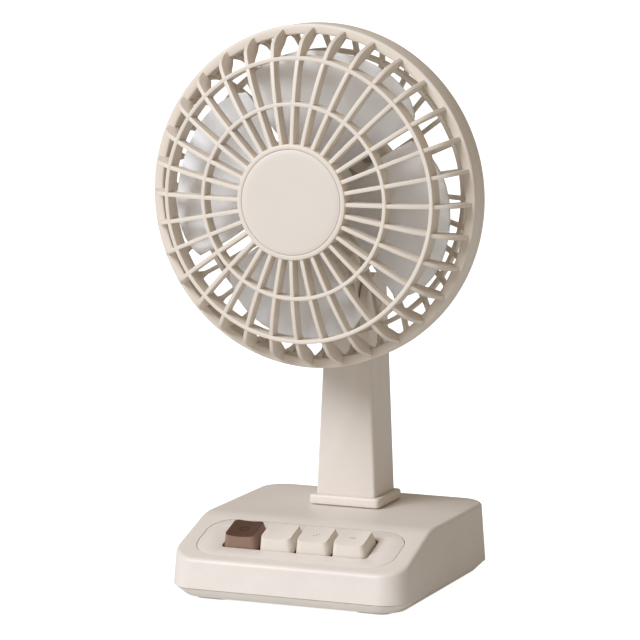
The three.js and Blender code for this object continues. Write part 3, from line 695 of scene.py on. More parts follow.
@dataclass
class Base:
    """The sloped base: its shell, tray and feet."""

    half_width: float = 62.3
    half_depth: float = 66.0
    corner: float = 14.0
    draft: float = 0.061
    seam: float = 6.6
    slope_foot: float = 21.3
    top: float = 36.3
    crease: float = -21.2
    wall: float = 2.4
    edge: float = 1.9
    tray_bottom: float = 1.5
    chamfer: float = 5.0
    crease_round: float = 5.0
    foot_height: float = 1.2
    screw_spot: Point = (52.0, 40.0)
    foot_spot: Point = (42.0, 51.0)

    @property
    def slope_front(self) -> float:
        """Y of the foot of the slope."""
        return -self.half_depth + (self.slope_foot - self.seam) * self.draft

    @property
    def slope(self) -> float:
        """The slope's angle in radians."""
        return math.atan2(self.top - self.slope_foot, self.crease - self.slope_front)

    def on_slope(self) -> Matrix:
        """The move that takes a piece drawn flat at the origin onto the middle of the slope."""
        middle = mm(0, (self.crease + self.slope_front) / 2, (self.top + self.slope_foot) / 2)
        return Matrix.Translation(middle) @ Matrix.Rotation(self.slope, 4, "X")

    def build_shell(self, panel: "KeyPanel", column: "Column") -> Object:
        """The shell with its slope, its rounded edges and its openings.

        Args:
            panel: The key panel that is let into it.
            column: The column that stands on it.

        Returns:
            The shell.
        """
        low = (-self.half_width, -self.half_depth, self.seam)
        shell = rounded_block("sloped shell", low, (self.half_width, self.half_depth, self.top), self.corner, 14)
        lean = (self.top - self.seam) * self.draft
        taper(shell, self.top, 1 - lean / self.half_width, 1 - lean / self.half_depth)
        open_edit(shell)
        bpy.ops.mesh.bisect(
            plane_co=mm(0, self.crease, self.top),
            plane_no=(0, -math.sin(self.slope), math.cos(self.slope)),
            use_fill=True,
            clear_outer=True,
        )
        close_edit()
        round_edges(shell, self._on_crease, self.crease_round, 6)
        self._round_rim(shell)
        pick(shell, Feature.FACE, lambda middle, normal: normal.z < -0.9 and abs(middle.z - self.seam) < 0.01)
        bpy.ops.mesh.delete(type="FACE")
        close_edit()
        modify(shell, "SOLIDIFY", thickness=self.wall * MM, offset=-1.0)
        for cutter in panel.cutters(self):
            combine(shell, cutter, Combine.REMOVE)
        for x, radius in ((0.0, 5.0), (-column.screw_x, 1.7), (column.screw_x, 1.7)):
            hole = rod("hole", radius, (self.top - 8, self.top + 3), (x, column.y, 0), Axis.Z)
            combine(shell, hole, Combine.REMOVE)
        return combine(shell, self._socket_cutter(), Combine.REMOVE)

    def _on_crease(self, middle: Vector, along: Vector) -> bool:
        """True for the edge where the slope meets the flat top."""
        at_edge = abs(middle.z - self.top) < NEAR and abs(middle.y - self.crease) < NEAR
        return at_edge and abs(along.x) > SHARE_ALONG

    def _round_rim(self, shell: Object) -> None:
        """Rounds the edge all round the top and the slope."""
        def on_rim(middle: Vector, along: Vector) -> bool:
            """True for an edge between the walls and the surfaces above them."""
            if middle.z < self.seam + 1:
                return False
            lean = (middle.z - self.seam) * self.draft
            away_x = self.half_width - lean - abs(middle.x)
            away_y = self.half_depth - lean - abs(middle.y)
            reach = self.corner - 0.6
            if away_x < reach and away_y < reach:
                near = math.hypot(reach - away_x, reach - away_y) > reach - 1.2
            else:
                near = min(away_x, away_y) < 0.4
            return near and abs(along.z) < 0.6
        round_edges(shell, on_rim, self.edge, 5, clamp=True)

    def _socket_cutter(self) -> Object:
        """The rounded opening round the charging socket."""
        low, high = (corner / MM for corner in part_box("charge_socket"))
        gap = 0.35
        inner, outer = (low.x - gap, high.y - 5, low.z - gap), (high.x + gap, high.y + 3, high.z + gap)
        return round_edges(block("socket cutter", inner, outer), runs(Axis.Y, SHARE_UPRIGHT), 1.5, 6)

    def build_tray(self) -> Object:
        """The tray under the shell, bevelled inward to its floor, with sinks for its screws."""
        rim = self.seam - 0.3
        half_x, half_y = self.half_width - 0.5, self.half_depth - 0.5
        tray = rounded_block(
            "bevelled tray", (-half_x, -half_y, self.tray_bottom), (half_x, half_y, rim), self.corner - 0.5, 14
        )
        taper(tray, self.tray_bottom, 1 - (self.chamfer - 0.5) / half_x, 1 - (self.chamfer - 0.5) / half_y)
        pick(tray, Feature.FACE, lambda middle, normal: normal.z > 0.9)
        bpy.ops.mesh.inset(thickness=(self.chamfer + self.wall) * MM)
        bpy.ops.mesh.extrude_region_move(TRANSFORM_OT_translate={"value": mm(0, 0, self.tray_bottom + 2 - rim)})
        close_edit()
        soften(tray, 0.5, 3)
        for side_x in (-1, 1):
            for side_y in (-1, 1):
                spot = (side_x * self.screw_spot[0], side_y * self.screw_spot[1], 0)
                combine(tray, rod("sink", 2.9, (0, 8), spot, Axis.Z), Combine.REMOVE)
        return tray

    def build_foot(self) -> Object:
        """One foot pad, drawn at the front left corner."""
        x, y = -self.foot_spot[0], -self.foot_spot[1]
        foot = rounded_block("foot pad", (x - 9.3, y - 5.3, 0), (x + 9.3, y + 5.3, self.foot_height + 0.2), 5.2, 10)
        return soften(foot, 0.35, 3)

    def dress(self, finishes: Finishes, panel: "KeyPanel", column: "Column") -> None:
        """Builds every piece and ties it to the part.

        Args:
            finishes: The materials.
            panel: The key panel.
            column: The column.
        """
        shell = self.build_shell(panel, column)
        deliver(shell, "base", ["base_shell"], finishes.shell)
        deliver(self.build_tray(), "base", ["base_tray"], finishes.tray)
        foot = self.build_foot()
        span_x, span_y = 2 * self.foot_spot[0], 2 * self.foot_spot[1]
        steps = {"front_right": (span_x, 0), "rear_left": (0, span_y), "rear_right": (span_x, span_y)}
        for name, step in steps.items():
            twin = copy_moved(foot, f"foot pad {name}", Matrix.Translation(mm(*step, 0)))
            deliver(twin, "base", [f"foot_{name}"], finishes.tray)
        deliver(foot, "base", ["foot_front_left"], finishes.tray)


# ------------------------------------------------------------------ keys


class Mark(Enum):
    """The plain sign on a key's top."""

    POWER = "power"
    NONE = "none"
    DOTS = "dots"
    DASH = "dash"


@dataclass
class KeyPanel:
    """The stadium-shaped panel on the slope and the keys in it."""

    half_width: float = 52.0
    half_depth: float = 17.5
    corner: float = 13.0
    thickness: float = 1.6
    pitch: float = 19.05
    skirt: float = 18.2
    crown: float = 15.4
    height: float = 6.5
    below: float = 1.2
    dish: float = 0.95
    gap: float = 0.3
    sign_outer: float = 2.2
    sign_inner: float = 1.75
    sign_from: float = 2.1
    sign_to: float = 7.32

    def cutters(self, base: Base) -> Iterator[Object]:
        """The bodies that open the shell for the panel and the keys.

        Args:
            base: The base they stand on.

        Yields:
            Each cutter in place.
        """
        reach_x, reach_y = self.half_width + self.gap, self.half_depth + self.gap
        recess = rounded_block(
            "recess", (-reach_x, -reach_y, -self.thickness - 0.2), (reach_x, reach_y, 4), self.corner, 14
        )
        yield self._moved(recess, base)
        well_x, well_y = 2.1 * self.pitch, self.skirt / 2 + 1
        yield self._moved(block("well", (-well_x, -well_y, -8), (well_x, well_y, 4)), base)

    @staticmethod
    def _moved(obj: Object, base: Base) -> Object:
        """A piece drawn flat, moved onto the slope."""
        obj.matrix_world = base.on_slope()
        return settle(obj, obj.name)

    def build_plate(self) -> Object:
        """The panel's plate with the opening for the keys."""
        panel = rounded_block(
            "keys plate",
            (-self.half_width, -self.half_depth, -self.thickness),
            (self.half_width, self.half_depth, 0),
            self.corner - 0.3,
            14,
        )
        reach_x, reach_y = 2 * self.pitch + self.gap, self.skirt / 2 + self.gap
        opening = rounded_block("opening", (-reach_x, -reach_y, -4), (reach_x, reach_y, 4), 2.4)
        combine(panel, opening, Combine.REMOVE)
        return soften(panel, 0.22, 2)

    def build_key(self) -> Object:
        """One keycap, drawn at the origin: leaning sides, a dished top and a hollow underneath."""
        half = self.skirt / 2
        cap = rounded_block("keycap", (-half, -half, -self.below), (half, half, self.height), 2.9, 8)
        taper(cap, self.height, self.crown / self.skirt, self.crown / self.skirt)
        radius = half * half / (2 * self.dish)
        centre = (0, 0, self.height - self.dish + radius)
        combine(cap, rod("dish", radius, (-15, 15), centre, Axis.Y, 256), Combine.REMOVE)
        open_edit(cap)
        bpy.ops.mesh.remove_doubles(threshold=0.05 * MM)
        bpy.ops.mesh.dissolve_limited(angle_limit=math.radians(0.2))
        close_edit()
        soften(cap, 0.42, 4, 45)
        pick(cap, Feature.FACE, lambda middle, normal: normal.z < -0.999)
        bpy.ops.mesh.inset(thickness=1.1 * MM)
        bpy.ops.mesh.extrude_region_move(TRANSFORM_OT_translate={"value": mm(0, 0, 4.4)})
        close_edit()
        return cap

    def build_mark(self, mark: Mark) -> Object:
        """A thin sign that lies on the bottom of the dish.

        Args:
            mark: Which sign.

        Returns:
            The sign, drawn at the origin.
        """
        top = self.height - self.dish
        low, high = top - 0.15, top + 0.09
        if mark is Mark.POWER:
            sign = block("power mark", (-0.24, 0.6, low), (0.24, 2.6, high))
            outside = self._arc(self.sign_outer, low, self.sign_from, self.sign_to)
            inside = self._arc(self.sign_inner, low, self.sign_to, self.sign_from)
            return merge(sign, [plate("ring", outside + inside, Vector((0, 0, high - low)))])
        if mark is Mark.DOTS:
            dots = [rod("dot", 0.33, (low, high), (1.1 * i, 0.9 * i, 0), Axis.Z, 20) for i in (-1, 0, 1)]
            return merge(dots[0], dots[1:])
        return block("dash mark", (-1.5, -0.22, low), (1.5, 0.22, high))

    @staticmethod
    def _arc(radius: float, height: float, first: float, last: float) -> list[Vector]:
        """Evenly spaced points of an arc between two angles."""
        angles = [first + (last - first) * i / ARC_STEPS for i in range(ARC_STEPS + 1)]
        return [Vector((radius * math.cos(angle), radius * math.sin(angle), height)) for angle in angles]

    @staticmethod
    def _paint_side_sheen(cap: Object, finish: Material, base: Base) -> None:
        """Paints the sides of a keycap lighter than its top: a painted sheen for the bright light its sides reflect.

        Args:
            cap: The keycap in place.
            finish: The lighter material of its sides, a painted sheen.
            base: The base, whose slope gives the way the cap faces.
        """
        cap.data.materials.append(finish)
        up = base.on_slope().to_3x3() @ Vector((0, 0, 1))
        # Faces that don't face up get the lighter side colour: painted sheen.
        for face in cap.data.polygons:
            if face.normal.dot(up) < 0.55:
                face.material_index = 1

    def dress(self, finishes: Finishes, base: Base) -> None:
        """Builds the panel, the keys and their marks.

        Args:
            finishes: The materials.
            base: The base they stand on.
        """
        deliver(self._moved(self.build_plate(), base), "base", ["key_panel"], finishes.shell)
        key = self.build_key()
        marks = {"power": Mark.POWER, "speed": Mark.NONE, "mode": Mark.DOTS, "timer": Mark.DASH}
        for number, (use, mark) in enumerate(marks.items()):
            step = Matrix.Translation(mm((number - 1.5) * self.pitch, 0, 0))
            cap = copy_moved(key, f"keycap {use}", base.on_slope() @ step)
            brown = mark is Mark.POWER
            deliver(cap, f"key_{use}", [f"key_{use}"], finishes.brown if brown else finishes.key)
            if brown:
                self._paint_side_sheen(cap, finishes.brown_side, base)
            if mark is Mark.NONE:
                continue
            sign = self.build_mark(mark)
            sign.matrix_world = base.on_slope() @ step
            settle(sign, f"mark {use}")
            deliver(sign, f"key_{use}", [], finishes.mark_dark if brown else finishes.mark_grey)
        bpy.data.objects.remove(key, do_unlink=True)


# ------------------------------------------------------------------ column


@dataclass
class Column:
    """The tapering column with its forked round top, its collar and the hinge's bolt."""

    y: float = 31.7
    half_depth: float = 13.9
    foot_half: float = 16.3
    top_half: float = 10.9
    corner: float = 1.7
    foot_z: float = 36.6
    hinge_z: float = 140.3
    slot_floor: float = 127.0
    slot_half: float = 6.9
    screw_x: float = 10.0
    collar_half_x: float = 19.0
    collar_half_y: float = 16.85
    collar_height: float = 5.0

    def build_body(self) -> Object:
        """The column itself."""
        top = self.hinge_z + self.half_depth
        reach = self.half_depth
        body = block(
            "tapered column", (-self.foot_half, self.y - reach, self.foot_z), (self.foot_half, self.y + reach, top)
        )
        taper(body, top, self.top_half / self.foot_half, 1.0)
        round_edges(body, runs(Axis.Z), self.corner, 5)
        turns = [math.pi * i / TOP_STEPS for i in range(TOP_STEPS + 1)]
        crown = [(reach * math.cos(turn), self.hinge_z + reach * math.sin(turn)) for turn in turns]
        outline = [Vector((-30, self.y + y, z)) for y, z in [(reach, 0.0), *crown, (-reach, 0.0)]]
        combine(body, plate("side view", outline, Vector((60, 0, 0))), Combine.KEEP)
        slot = block("slot", (-self.slot_half, self.y - 30, self.slot_floor), (self.slot_half, self.y + 30, top + 9))
        combine(body, slot, Combine.REMOVE)
        centre = (0, self.y, self.hinge_z)
        combine(body, rod("bolt hole", BOLT_HOLE, (-30, 30), centre, Axis.X), Combine.REMOVE)
        for ends in ((self.top_half - 1, 30), (-30, 1 - self.top_half)):
            combine(body, rod("sink", 5, ends, centre, Axis.X, 64), Combine.REMOVE)
        return soften(body, 0.45, 3, 40)

    def build_collar(self) -> Object:
        """The collar round the column's foot, with a round top edge."""
        low, high = self.foot_z, self.foot_z + self.collar_height
        near, far = self.y - self.collar_half_y, self.y + self.collar_half_y
        collar = rounded_block(
            "foot collar", (-self.collar_half_x, near, low), (self.collar_half_x, far, high), 2.6
        )
        soften(collar, 1.2, 5)
        lean = (self.foot_half - self.top_half) / (self.hinge_z + self.half_depth - self.foot_z)
        gap = 0.25
        half_x, half_y = self.foot_half + gap, self.half_depth + gap
        hole = block("hole", (-half_x, self.y - half_y, low - 1), (half_x, self.y + half_y, high + 4))
        taper(hole, high + 4, 1 - lean * 9 / half_x, 1.0)
        round_edges(hole, runs(Axis.Z), self.corner, 5)
        return combine(collar, hole, Combine.REMOVE)

    def build_bolt(self) -> Object:
        """The hinge bolt: a round head with a six-sided socket, and its shank."""
        head_x = self.top_half - 0.7
        centre = (0, self.y, self.hinge_z)
        bolt = rod("bolt with head", 4.4, (head_x, head_x + 1.4), centre, Axis.X, 64)
        soften(bolt, 0.4, 4)
        combine(bolt, rod("socket", 1.7, (head_x + 0.5, head_x + 3), centre, Axis.X, 6), Combine.REMOVE)
        shank = rod("shank", 2.5, (-head_x - 2, head_x + 0.2), centre, Axis.X, 48)
        return combine(bolt, shank, Combine.ADD)

    def build_nut(self) -> Object:
        """The six-sided nut with softened corners."""
        head_x = self.top_half - 0.7
        centre = (0, self.y, self.hinge_z)
        nut = rod("six sided nut", 4.6, (-head_x - 2, -head_x), centre, Axis.X, 6)
        combine(nut, rod("bore", 2.62, (-30, 0), centre, Axis.X, 48), Combine.REMOVE)
        return soften(nut, 0.25, 2, 40)

    def dress(self, finishes: Finishes) -> None:
        """Builds every piece and ties it to the part.

        Args:
            finishes: The materials.
        """
        deliver(self.build_body(), "base", ["column"], finishes.column)
        deliver(self.build_collar(), "base", ["column_collar"], finishes.column)
        deliver(self.build_bolt(), "base", ["hinge_bolt"], finishes.steel)
        deliver(self.build_nut(), "base", ["hinge_nut"], finishes.steel)


# ------------------------------------------------------------------ head


@dataclass
class Head:
    """What the guards, the impeller and the motor housing share: the head's axis and its rim."""

    axis_z: float = 198.0
    rim_y: float = -29.6
    ribs: int = 32
    rim_outer: float = 84.2
    rim_inner: float = 79.2
    seam: float = -9.8
    back: float = -15.3

    def spot(self, radius: float, forward: float, turn: float = 0.0, side: float = 0.0) -> Vector:
        """A place about the head's axis.

        Args:
            radius: The distance from the axis.
            forward: The distance in front of the rim's plane.
            turn: The angle round the axis in radians.
            side: A step square to the radius.

        Returns:
            The place in millimetres.
        """
        x = radius * math.cos(turn) - side * math.sin(turn)
        z = radius * math.sin(turn) + side * math.cos(turn)
        return Vector((x, self.rim_y - forward, self.axis_z + z))

    @staticmethod
    def lengthwise(beyond: float) -> Test:
        """A test for the long edges of a rib along +X, past a distance from the axis."""
        return lambda middle, along: abs(along.z) < 0.5 and abs(middle.x) > beyond

    def turned(self, name: str, points: Sequence[Point], steps: int = 192) -> Object:
        """A body turned about the head's axis.

        Args:
            name: The piece's name.
            points: Its section as (radius, forward) points, which closes on itself.
            steps: How many facets it has round the axis.

        Returns:
            The body.
        """
        solid_centre = points[0][0] == 0 and points[-1][0] == 0
        closing = [] if solid_centre else [points[0]]
        outline = [self.spot(radius, forward) for radius, forward in [*points, *closing]]
        obj = chain(name, outline)
        bpy.ops.mesh.select_all(action="SELECT")
        bpy.ops.mesh.remove_doubles(threshold=0.001 * MM)
        bpy.ops.mesh.spin(steps=steps, angle=2 * math.pi, center=mm(0, 0, self.axis_z), axis=(0, 1, 0))
        bpy.ops.mesh.select_all(action="SELECT")
        bpy.ops.mesh.remove_doubles(threshold=0.001 * MM)
        bpy.ops.mesh.normals_make_consistent(inside=False)
        close_edit()
        return obj

    def band(self, name: str, inner: float, outer: float, back: float, front: float, edge: float = 0.35) -> Object:
        """A turned ring with a rounded front.

        Args:
            name: The piece's name.
            inner: Its inner radius.
            outer: Its outer radius.
            back: The forward distance of its back.
            front: The forward distance of its front.
            edge: The size of the round on its edges.

        Returns:
            The ring.
        """
        third = edge * 0.3
        return self.turned(name, [
            (inner + edge, front), (inner + third, front - third), (inner, front - edge),
            (inner, back + third), (inner + third, back), (outer - third, back), (outer, back + third),
            (outer, front - edge), (outer - third, front - third), (outer - edge, front),
        ])

    def around(self, obj: Object, count: int) -> Object:
        """Repeats a piece evenly about the head's axis, as one mesh.

        Args:
            obj: The piece.
            count: How many there are.

        Returns:
            The piece with its copies.
        """
        centre = Matrix.Translation(mm(0, 0, self.axis_z))
        twins = []
        for i in range(1, count):
            turn = centre @ Matrix.Rotation(2 * math.pi * i / count, 4, "Y") @ centre.inverted()
            twins.append(copy_moved(obj, f"{obj.name} {i}", turn))
        return merge(obj, twins)


@dataclass
class FrontGrille:
    """The domed front grille: a rim, two rings, a hub ring and deep curved fins."""

    head: Head
    dome_radius: float = 83.2
    fin_radius: float = 82.5
    dome_height: float = 27.6
    inside_radius: float = 78.6
    inside_height: float = 20.2
    power: float = 2.65
    fin_width: float = 1.95
    hub_outer: float = 28.0
    hub_inner: float = 25.6
    cap_radius: float = 25.45

    def curve(self, radius: float, height: float, first: float, steps: int) -> list[Point]:
        """Points of the dome's section from a radius out to its edge.

        Args:
            radius: The dome's radius.
            height: The dome's height.
            first: The radius where the points start.
            steps: How many there are.

        Returns:
            The (radius, forward) points.
        """
        begin = math.acos(min((first / radius) ** (self.power / 2), 1.0))
        points = []
        for i in range(steps + 1):
            angle = begin * (1 - i / steps)
            reach = radius * math.cos(angle) ** (2 / self.power)
            points.append((reach, height * math.sin(angle) ** (2 / self.power)))
        return points

    def front_at(self, radius: float) -> float:
        """Forward distance of the dome's outside at a radius."""
        share = (radius / self.dome_radius) ** self.power
        return self.dome_height * (1 - share) ** (1 / self.power)

    def build_fin(self) -> Object:
        """One fin from the hub ring to the rim, along +X."""
        outer = [p for p in self.curve(self.fin_radius, self.dome_height, 27.2, 34) if p[0] < 77.6]
        outer += [(79.0, 10.9), (80.3, 7.8), (81.3, 4.9), (82.1, 2.4), (82.6, 0.6)]
        inner = [p for p in self.curve(self.inside_radius, self.inside_height, 27.2, 26) if p[0] < 66.5]
        inner += [(68.6, 11.7), (70.6, 9.4), (72.3, 6.9), (73.8, 4.2), (75.3, 1.6), (77.0, -0.8)]
        foot = [(self.fin_radius - 0.1, 0.3), (81.5, -0.6), (80.0, -3.0), (79.9, -6.6), (78.9, -6.6), (78.4, -2.6)]
        half = self.fin_width / 2
        section = [self.head.spot(r, a, 0, -half) for r, a in [*outer, *foot, *reversed(inner)]]
        fin = plate("fin", section, Vector((0, 0, self.fin_width)))
        return round_edges(fin, self.head.lengthwise(28.5), 0.22, 2)

    def build(self) -> Object:
        """The whole grille."""
        head = self.head
        rim = head.turned("ribbed grille", [
            (head.rim_outer, head.seam + 0.15), (head.rim_outer, -0.45), (84.08, -0.05), (83.8, 0.22), (83.4, 0.36),
            (82.4, 0.5), (80.2, 0.6), (79.7, 0.5), (79.32, 0.2), (head.rim_inner, -0.3),
            (79.6, -8.6), (79.9, head.seam + 0.15),
        ], 256)
        parts = [
            head.band("ring 1", 46.05, 47.95, self.front_at(47) - 7.6, self.front_at(47) + 0.1),
            head.band("ring 2", 67.7, 69.7, self.front_at(68.7) - 9.8, self.front_at(68.7) + 0.2),
            head.turned("hub", [
                (3, 23.5), (self.hub_inner, 23.5), (self.hub_inner, 27.5), (25.68, 27.68), (25.85, 27.75),
                (27.4, 27.75), (27.85, 27.5), (self.hub_outer, 26.8), (self.hub_outer, 19.3), (27.6, 19.0), (3, 19.0),
            ]),
            head.around(self.build_fin(), head.ribs),
        ]
        return merge(rim, parts)

    def build_cap(self) -> Object:
        """The smooth cap that closes the hub."""
        r = self.cap_radius
        return self.head.turned("hub disc", [
            (0.0, 23.9), (r, 23.9), (r, 27.5), (r - 0.07, 27.66), (r - 0.25, 27.74), (r - 3, 27.88), (r - 9, 28.0),
            (8, 28.1), (0.0, 28.1),
        ])

    def dress(self, finishes: Finishes) -> None:
        """Builds the grille and its cap.

        Args:
            finishes: The materials.
        """
        deliver(self.build(), "head", ["front_grille"], finishes.grille)
        deliver(self.build_cap(), "head", ["hub_cap"], finishes.shell)


@dataclass
class RearGuard:
    """The sloping rear guard with long slots that end in rounds."""

    head: Head
    plate_radius: float = 33.0
    plate_front: float = -31.6
    plate_back: float = -35.6
    rib_width: float = 2.0
    screw_circle: float = 24.0

    def build_rib(self) -> Object:
        """One rib from the plate to the band, along +X, with its flared outer end."""
        head = self.head
        front = [(31.0, self.plate_front - 0.2), (54.0, -29.7), (70.0, -22.2), (80.9, -11.6)]
        back = [(81.6, -14.9), (70.0, -26.8), (54.0, -34.0), (31.0, self.plate_back + 0.2)]
        half = self.rib_width / 2
        rib = plate("rib", [head.spot(r, a, 0, -half) for r, a in front + back], Vector((0, 0, self.rib_width)))
        round_edges(rib, head.lengthwise(34.0), 0.35, 2)
        return merge(rib, [self._flare()])

    def _flare(self) -> Object:
        """The web between a rib and the band, with hollow sides that round off the slots."""
        radius, outer = 6.4, 81.2
        begin = outer - radius
        rise = []
        for i in range(ROUND_STEPS + 1):
            angle = math.pi / 2 * i / ROUND_STEPS
            side = self.rib_width / 2 - 0.1 + radius * (1 - math.cos(angle))
            rise.append((begin + radius * math.sin(angle), side))
        right = [self._on_cone(r, -side) for r, side in rise]
        left = [self._on_cone(r, side) for r, side in reversed(rise)]
        return plate("flare", right + left, Vector((1.4, 1.6, 0)))

    def _on_cone(self, radius: float, side: float) -> Vector:
        """A place on the sloping outer part of the guard."""
        return self.head.spot(radius, -13.2 - (81.2 - radius) * 0.92, 0, side)

    def build(self) -> Object:
        """The whole guard."""
        head = self.head
        band = head.turned("slotted guard", [
            (head.rim_outer, head.seam - 0.15), (80.4, head.seam - 0.15), (80.4, -14.2), (80.9, -15.1),
            (81.6, head.back), (82.8, head.back), (83.7, -14.9), (84.1, -14.1), (head.rim_outer, -13.2),
        ], 256)
        centre = head.turned("plate", [
            (4, self.plate_front), (self.plate_radius - 0.5, self.plate_front),
            (self.plate_radius, self.plate_front - 0.6), (self.plate_radius, self.plate_back + 0.6),
            (self.plate_radius - 0.5, self.plate_back), (4, self.plate_back),
        ])
        for i in range(4):
            spot = head.spot(self.screw_circle, 0, math.radians(45 + 90 * i))
            hole = rod("hole", 1.6, (-9, 20), spot, Axis.Y, 32)
            combine(centre, hole, Combine.REMOVE)
        ring = head.band("ring", 68.9, 71.1, -27.2, -21.4)
        return merge(band, [centre, ring, head.around(self.build_rib(), head.ribs)])

    def dress(self, finishes: Finishes) -> None:
        """Builds the guard.

        Args:
            finishes: The materials.
        """
        deliver(self.build(), "head", ["rear_guard"], finishes.grille)


@dataclass
class Impeller:
    """The petal impeller, frosted and slightly clear."""

    head: Head
    blades: int = 4
    first: float = -11.0
    hub: float = 20.0
    tip: float = 71.4
    centre: float = -1.0
    wall: float = 1.25

    def build_blade(self) -> Object:
        """One petal: a grid bent onto a twisted, cambered face, given its thickness and a soft edge."""
        start()
        bpy.ops.mesh.primitive_grid_add(x_subdivisions=36, y_subdivisions=28, size=2, location=(0, 0, 0))
        blade = settle(bpy.context.object, "blade")
        for vertex in blade.data.vertices:
            vertex.co = self._on_face(vertex.co.x, (vertex.co.y + 1) / 2) * MM
        modify(blade, "SOLIDIFY", thickness=self.wall * MM, offset=0.0)
        return soften(blade, 0.4, 2, 60)

    def _on_face(self, side: float, outward: float) -> Vector:
        """A place on the middle face of the first blade.

        Args:
            side: From -1 at one edge to 1 at the other.
            outward: From 0 at the hub to 1 at the tip.

        Returns:
            The place in millimetres.
        """
        root = self.hub - 1.0
        reach = self.tip - 8.5 * abs(side) ** 3.4
        radius = root + (reach - root) * outward
        half = math.radians(31 + 9 * math.sin(math.pi * min(outward * 0.72, 0.5)))
        rise = side * half * radius * (0.46 - 0.22 * outward)
        camber = 2.2 * (1 - side * side) * outward
        return self.head.spot(radius, self.centre + rise - camber, math.radians(self.first) + side * half)

    def build(self) -> Object:
        """The hub with its petals."""
        cup = self.head.turned("petal impeller", [
            (1.6, 1.0), (5.0, 1.0), (5.0, 8.0), (18.0, 8.0), (18.0, -10.0), (20.0, -10.0), (20.0, 8.0),
            (19.7, 9.0), (19.0, 9.7), (18.0, 10.0), (1.6, 10.0),
        ], 96)
        return merge(cup, [self.head.around(self.build_blade(), self.blades)])

    def dress(self, finishes: Finishes) -> None:
        """Builds the impeller.

        Args:
            finishes: The materials.
        """
        deliver(self.build(), "rotor", ["impeller"], finishes.blade)


@dataclass
class MotorHousing:
    """The rounded cup behind the rear guard and its neck down to the hinge."""

    head: Head
    column: Column
    radius: float = 31.0
    front: float = -35.9
    back: float = -55.0
    wall: float = 2.2
    knuckle: float = 12.8
    half_width: float = 5.9

    def build(self) -> Object:
        """The housing with its neck."""
        r, front, back = self.radius, self.front, self.back
        outside: list[Point] = [(0.0, back)]
        inside: list[Point] = []
        for i in range(ROUND_STEPS + 1):
            angle = math.pi / 2 * i / ROUND_STEPS
            outside.append((r - 9 + 9 * math.sin(angle), back + 9 - 9 * math.cos(angle)))
            inside.append((r - 9 + 6.8 * math.sin(angle), back + 9 - 6.8 * math.cos(angle)))
        section = outside + [(r, front + 0.4), (r - 0.4, front), (r - self.wall, front)]
        housing = self.head.turned("motor cup", section + list(reversed(inside)) + [(0.0, back + self.wall)])
        neck = self._neck()
        hinge = (0, self.column.y, self.column.hinge_z)
        combine(neck, rod("bolt hole", BOLT_HOLE, (-20, 20), hinge, Axis.X), Combine.REMOVE)
        return merge(housing, [neck])

    def _neck(self) -> Object:
        """The neck, its wider shoulder and the round knuckle at its end."""
        top = self.head.axis_z - self.radius + 1.0
        front_y, back_y = self.head.rim_y - self.front, self.head.rim_y - self.back
        y, z = self.column.y, self.column.hinge_z
        side = [
            (front_y + 0.4, top), (front_y + 0.4, top - 4), (y - self.knuckle, z + 2),
            (y + self.knuckle - 0.5, z + 3), (back_y + 2, z + 17), (back_y - 3, top),
        ]
        neck = plate("neck", [Vector((-self.half_width, a, b)) for a, b in side], Vector((2 * self.half_width, 0, 0)))
        ends = (-self.half_width, self.half_width)
        combine(neck, rod("knuckle", self.knuckle, ends, (0, y, z), Axis.X, 96), Combine.ADD)
        shoulder = [
            (front_y + 0.4, top), (front_y + 0.4, top - 2), (front_y + 9, top - 8), (back_y, top - 8),
            (back_y - 3, top),
        ]
        wide = plate("shoulder", [Vector((-8.5, a, b)) for a, b in shoulder], Vector((17, 0, 0)))
        combine(neck, wide, Combine.ADD)
        return soften(neck, 0.9, 4, 40)

    def dress(self, finishes: Finishes) -> None:
        """Builds the housing.

        Args:
            finishes: The materials.
        """
        deliver(self.build(), "head", ["motor_housing"], finishes.shell)


# ------------------------------------------------------------------ the rest of the part


class Inside:
    """The solids of the part that keep their own shape and take a finish."""

    def dress(self, finishes: Finishes) -> None:
        """Gives each remaining solid its material.

        Args:
            finishes: The materials.
        """
        by_slot = {
            "shell_plastic": finishes.shell,
            "key_brown": finishes.brown,
            "frosted_plastic": finishes.blade,
            "steel": finishes.steel,
            "board": finishes.board,
            "black_plastic": finishes.black,
            "cell_wrap": finishes.wrap,
            "motor_can": finishes.can,
            "nylon": finishes.nylon,
        }
        slots = {entry["node"]: entry["material_slot"] for entry in frame["record"]["subparts"]}
        for name, obj in frame["nodes"].items():
            obj.data.materials.clear()
            obj.data.materials.append(by_slot[slots[name]])
        LOG.info("dressed %d solids", len(frame["nodes"]))


# ------------------------------------------------------------------ studio


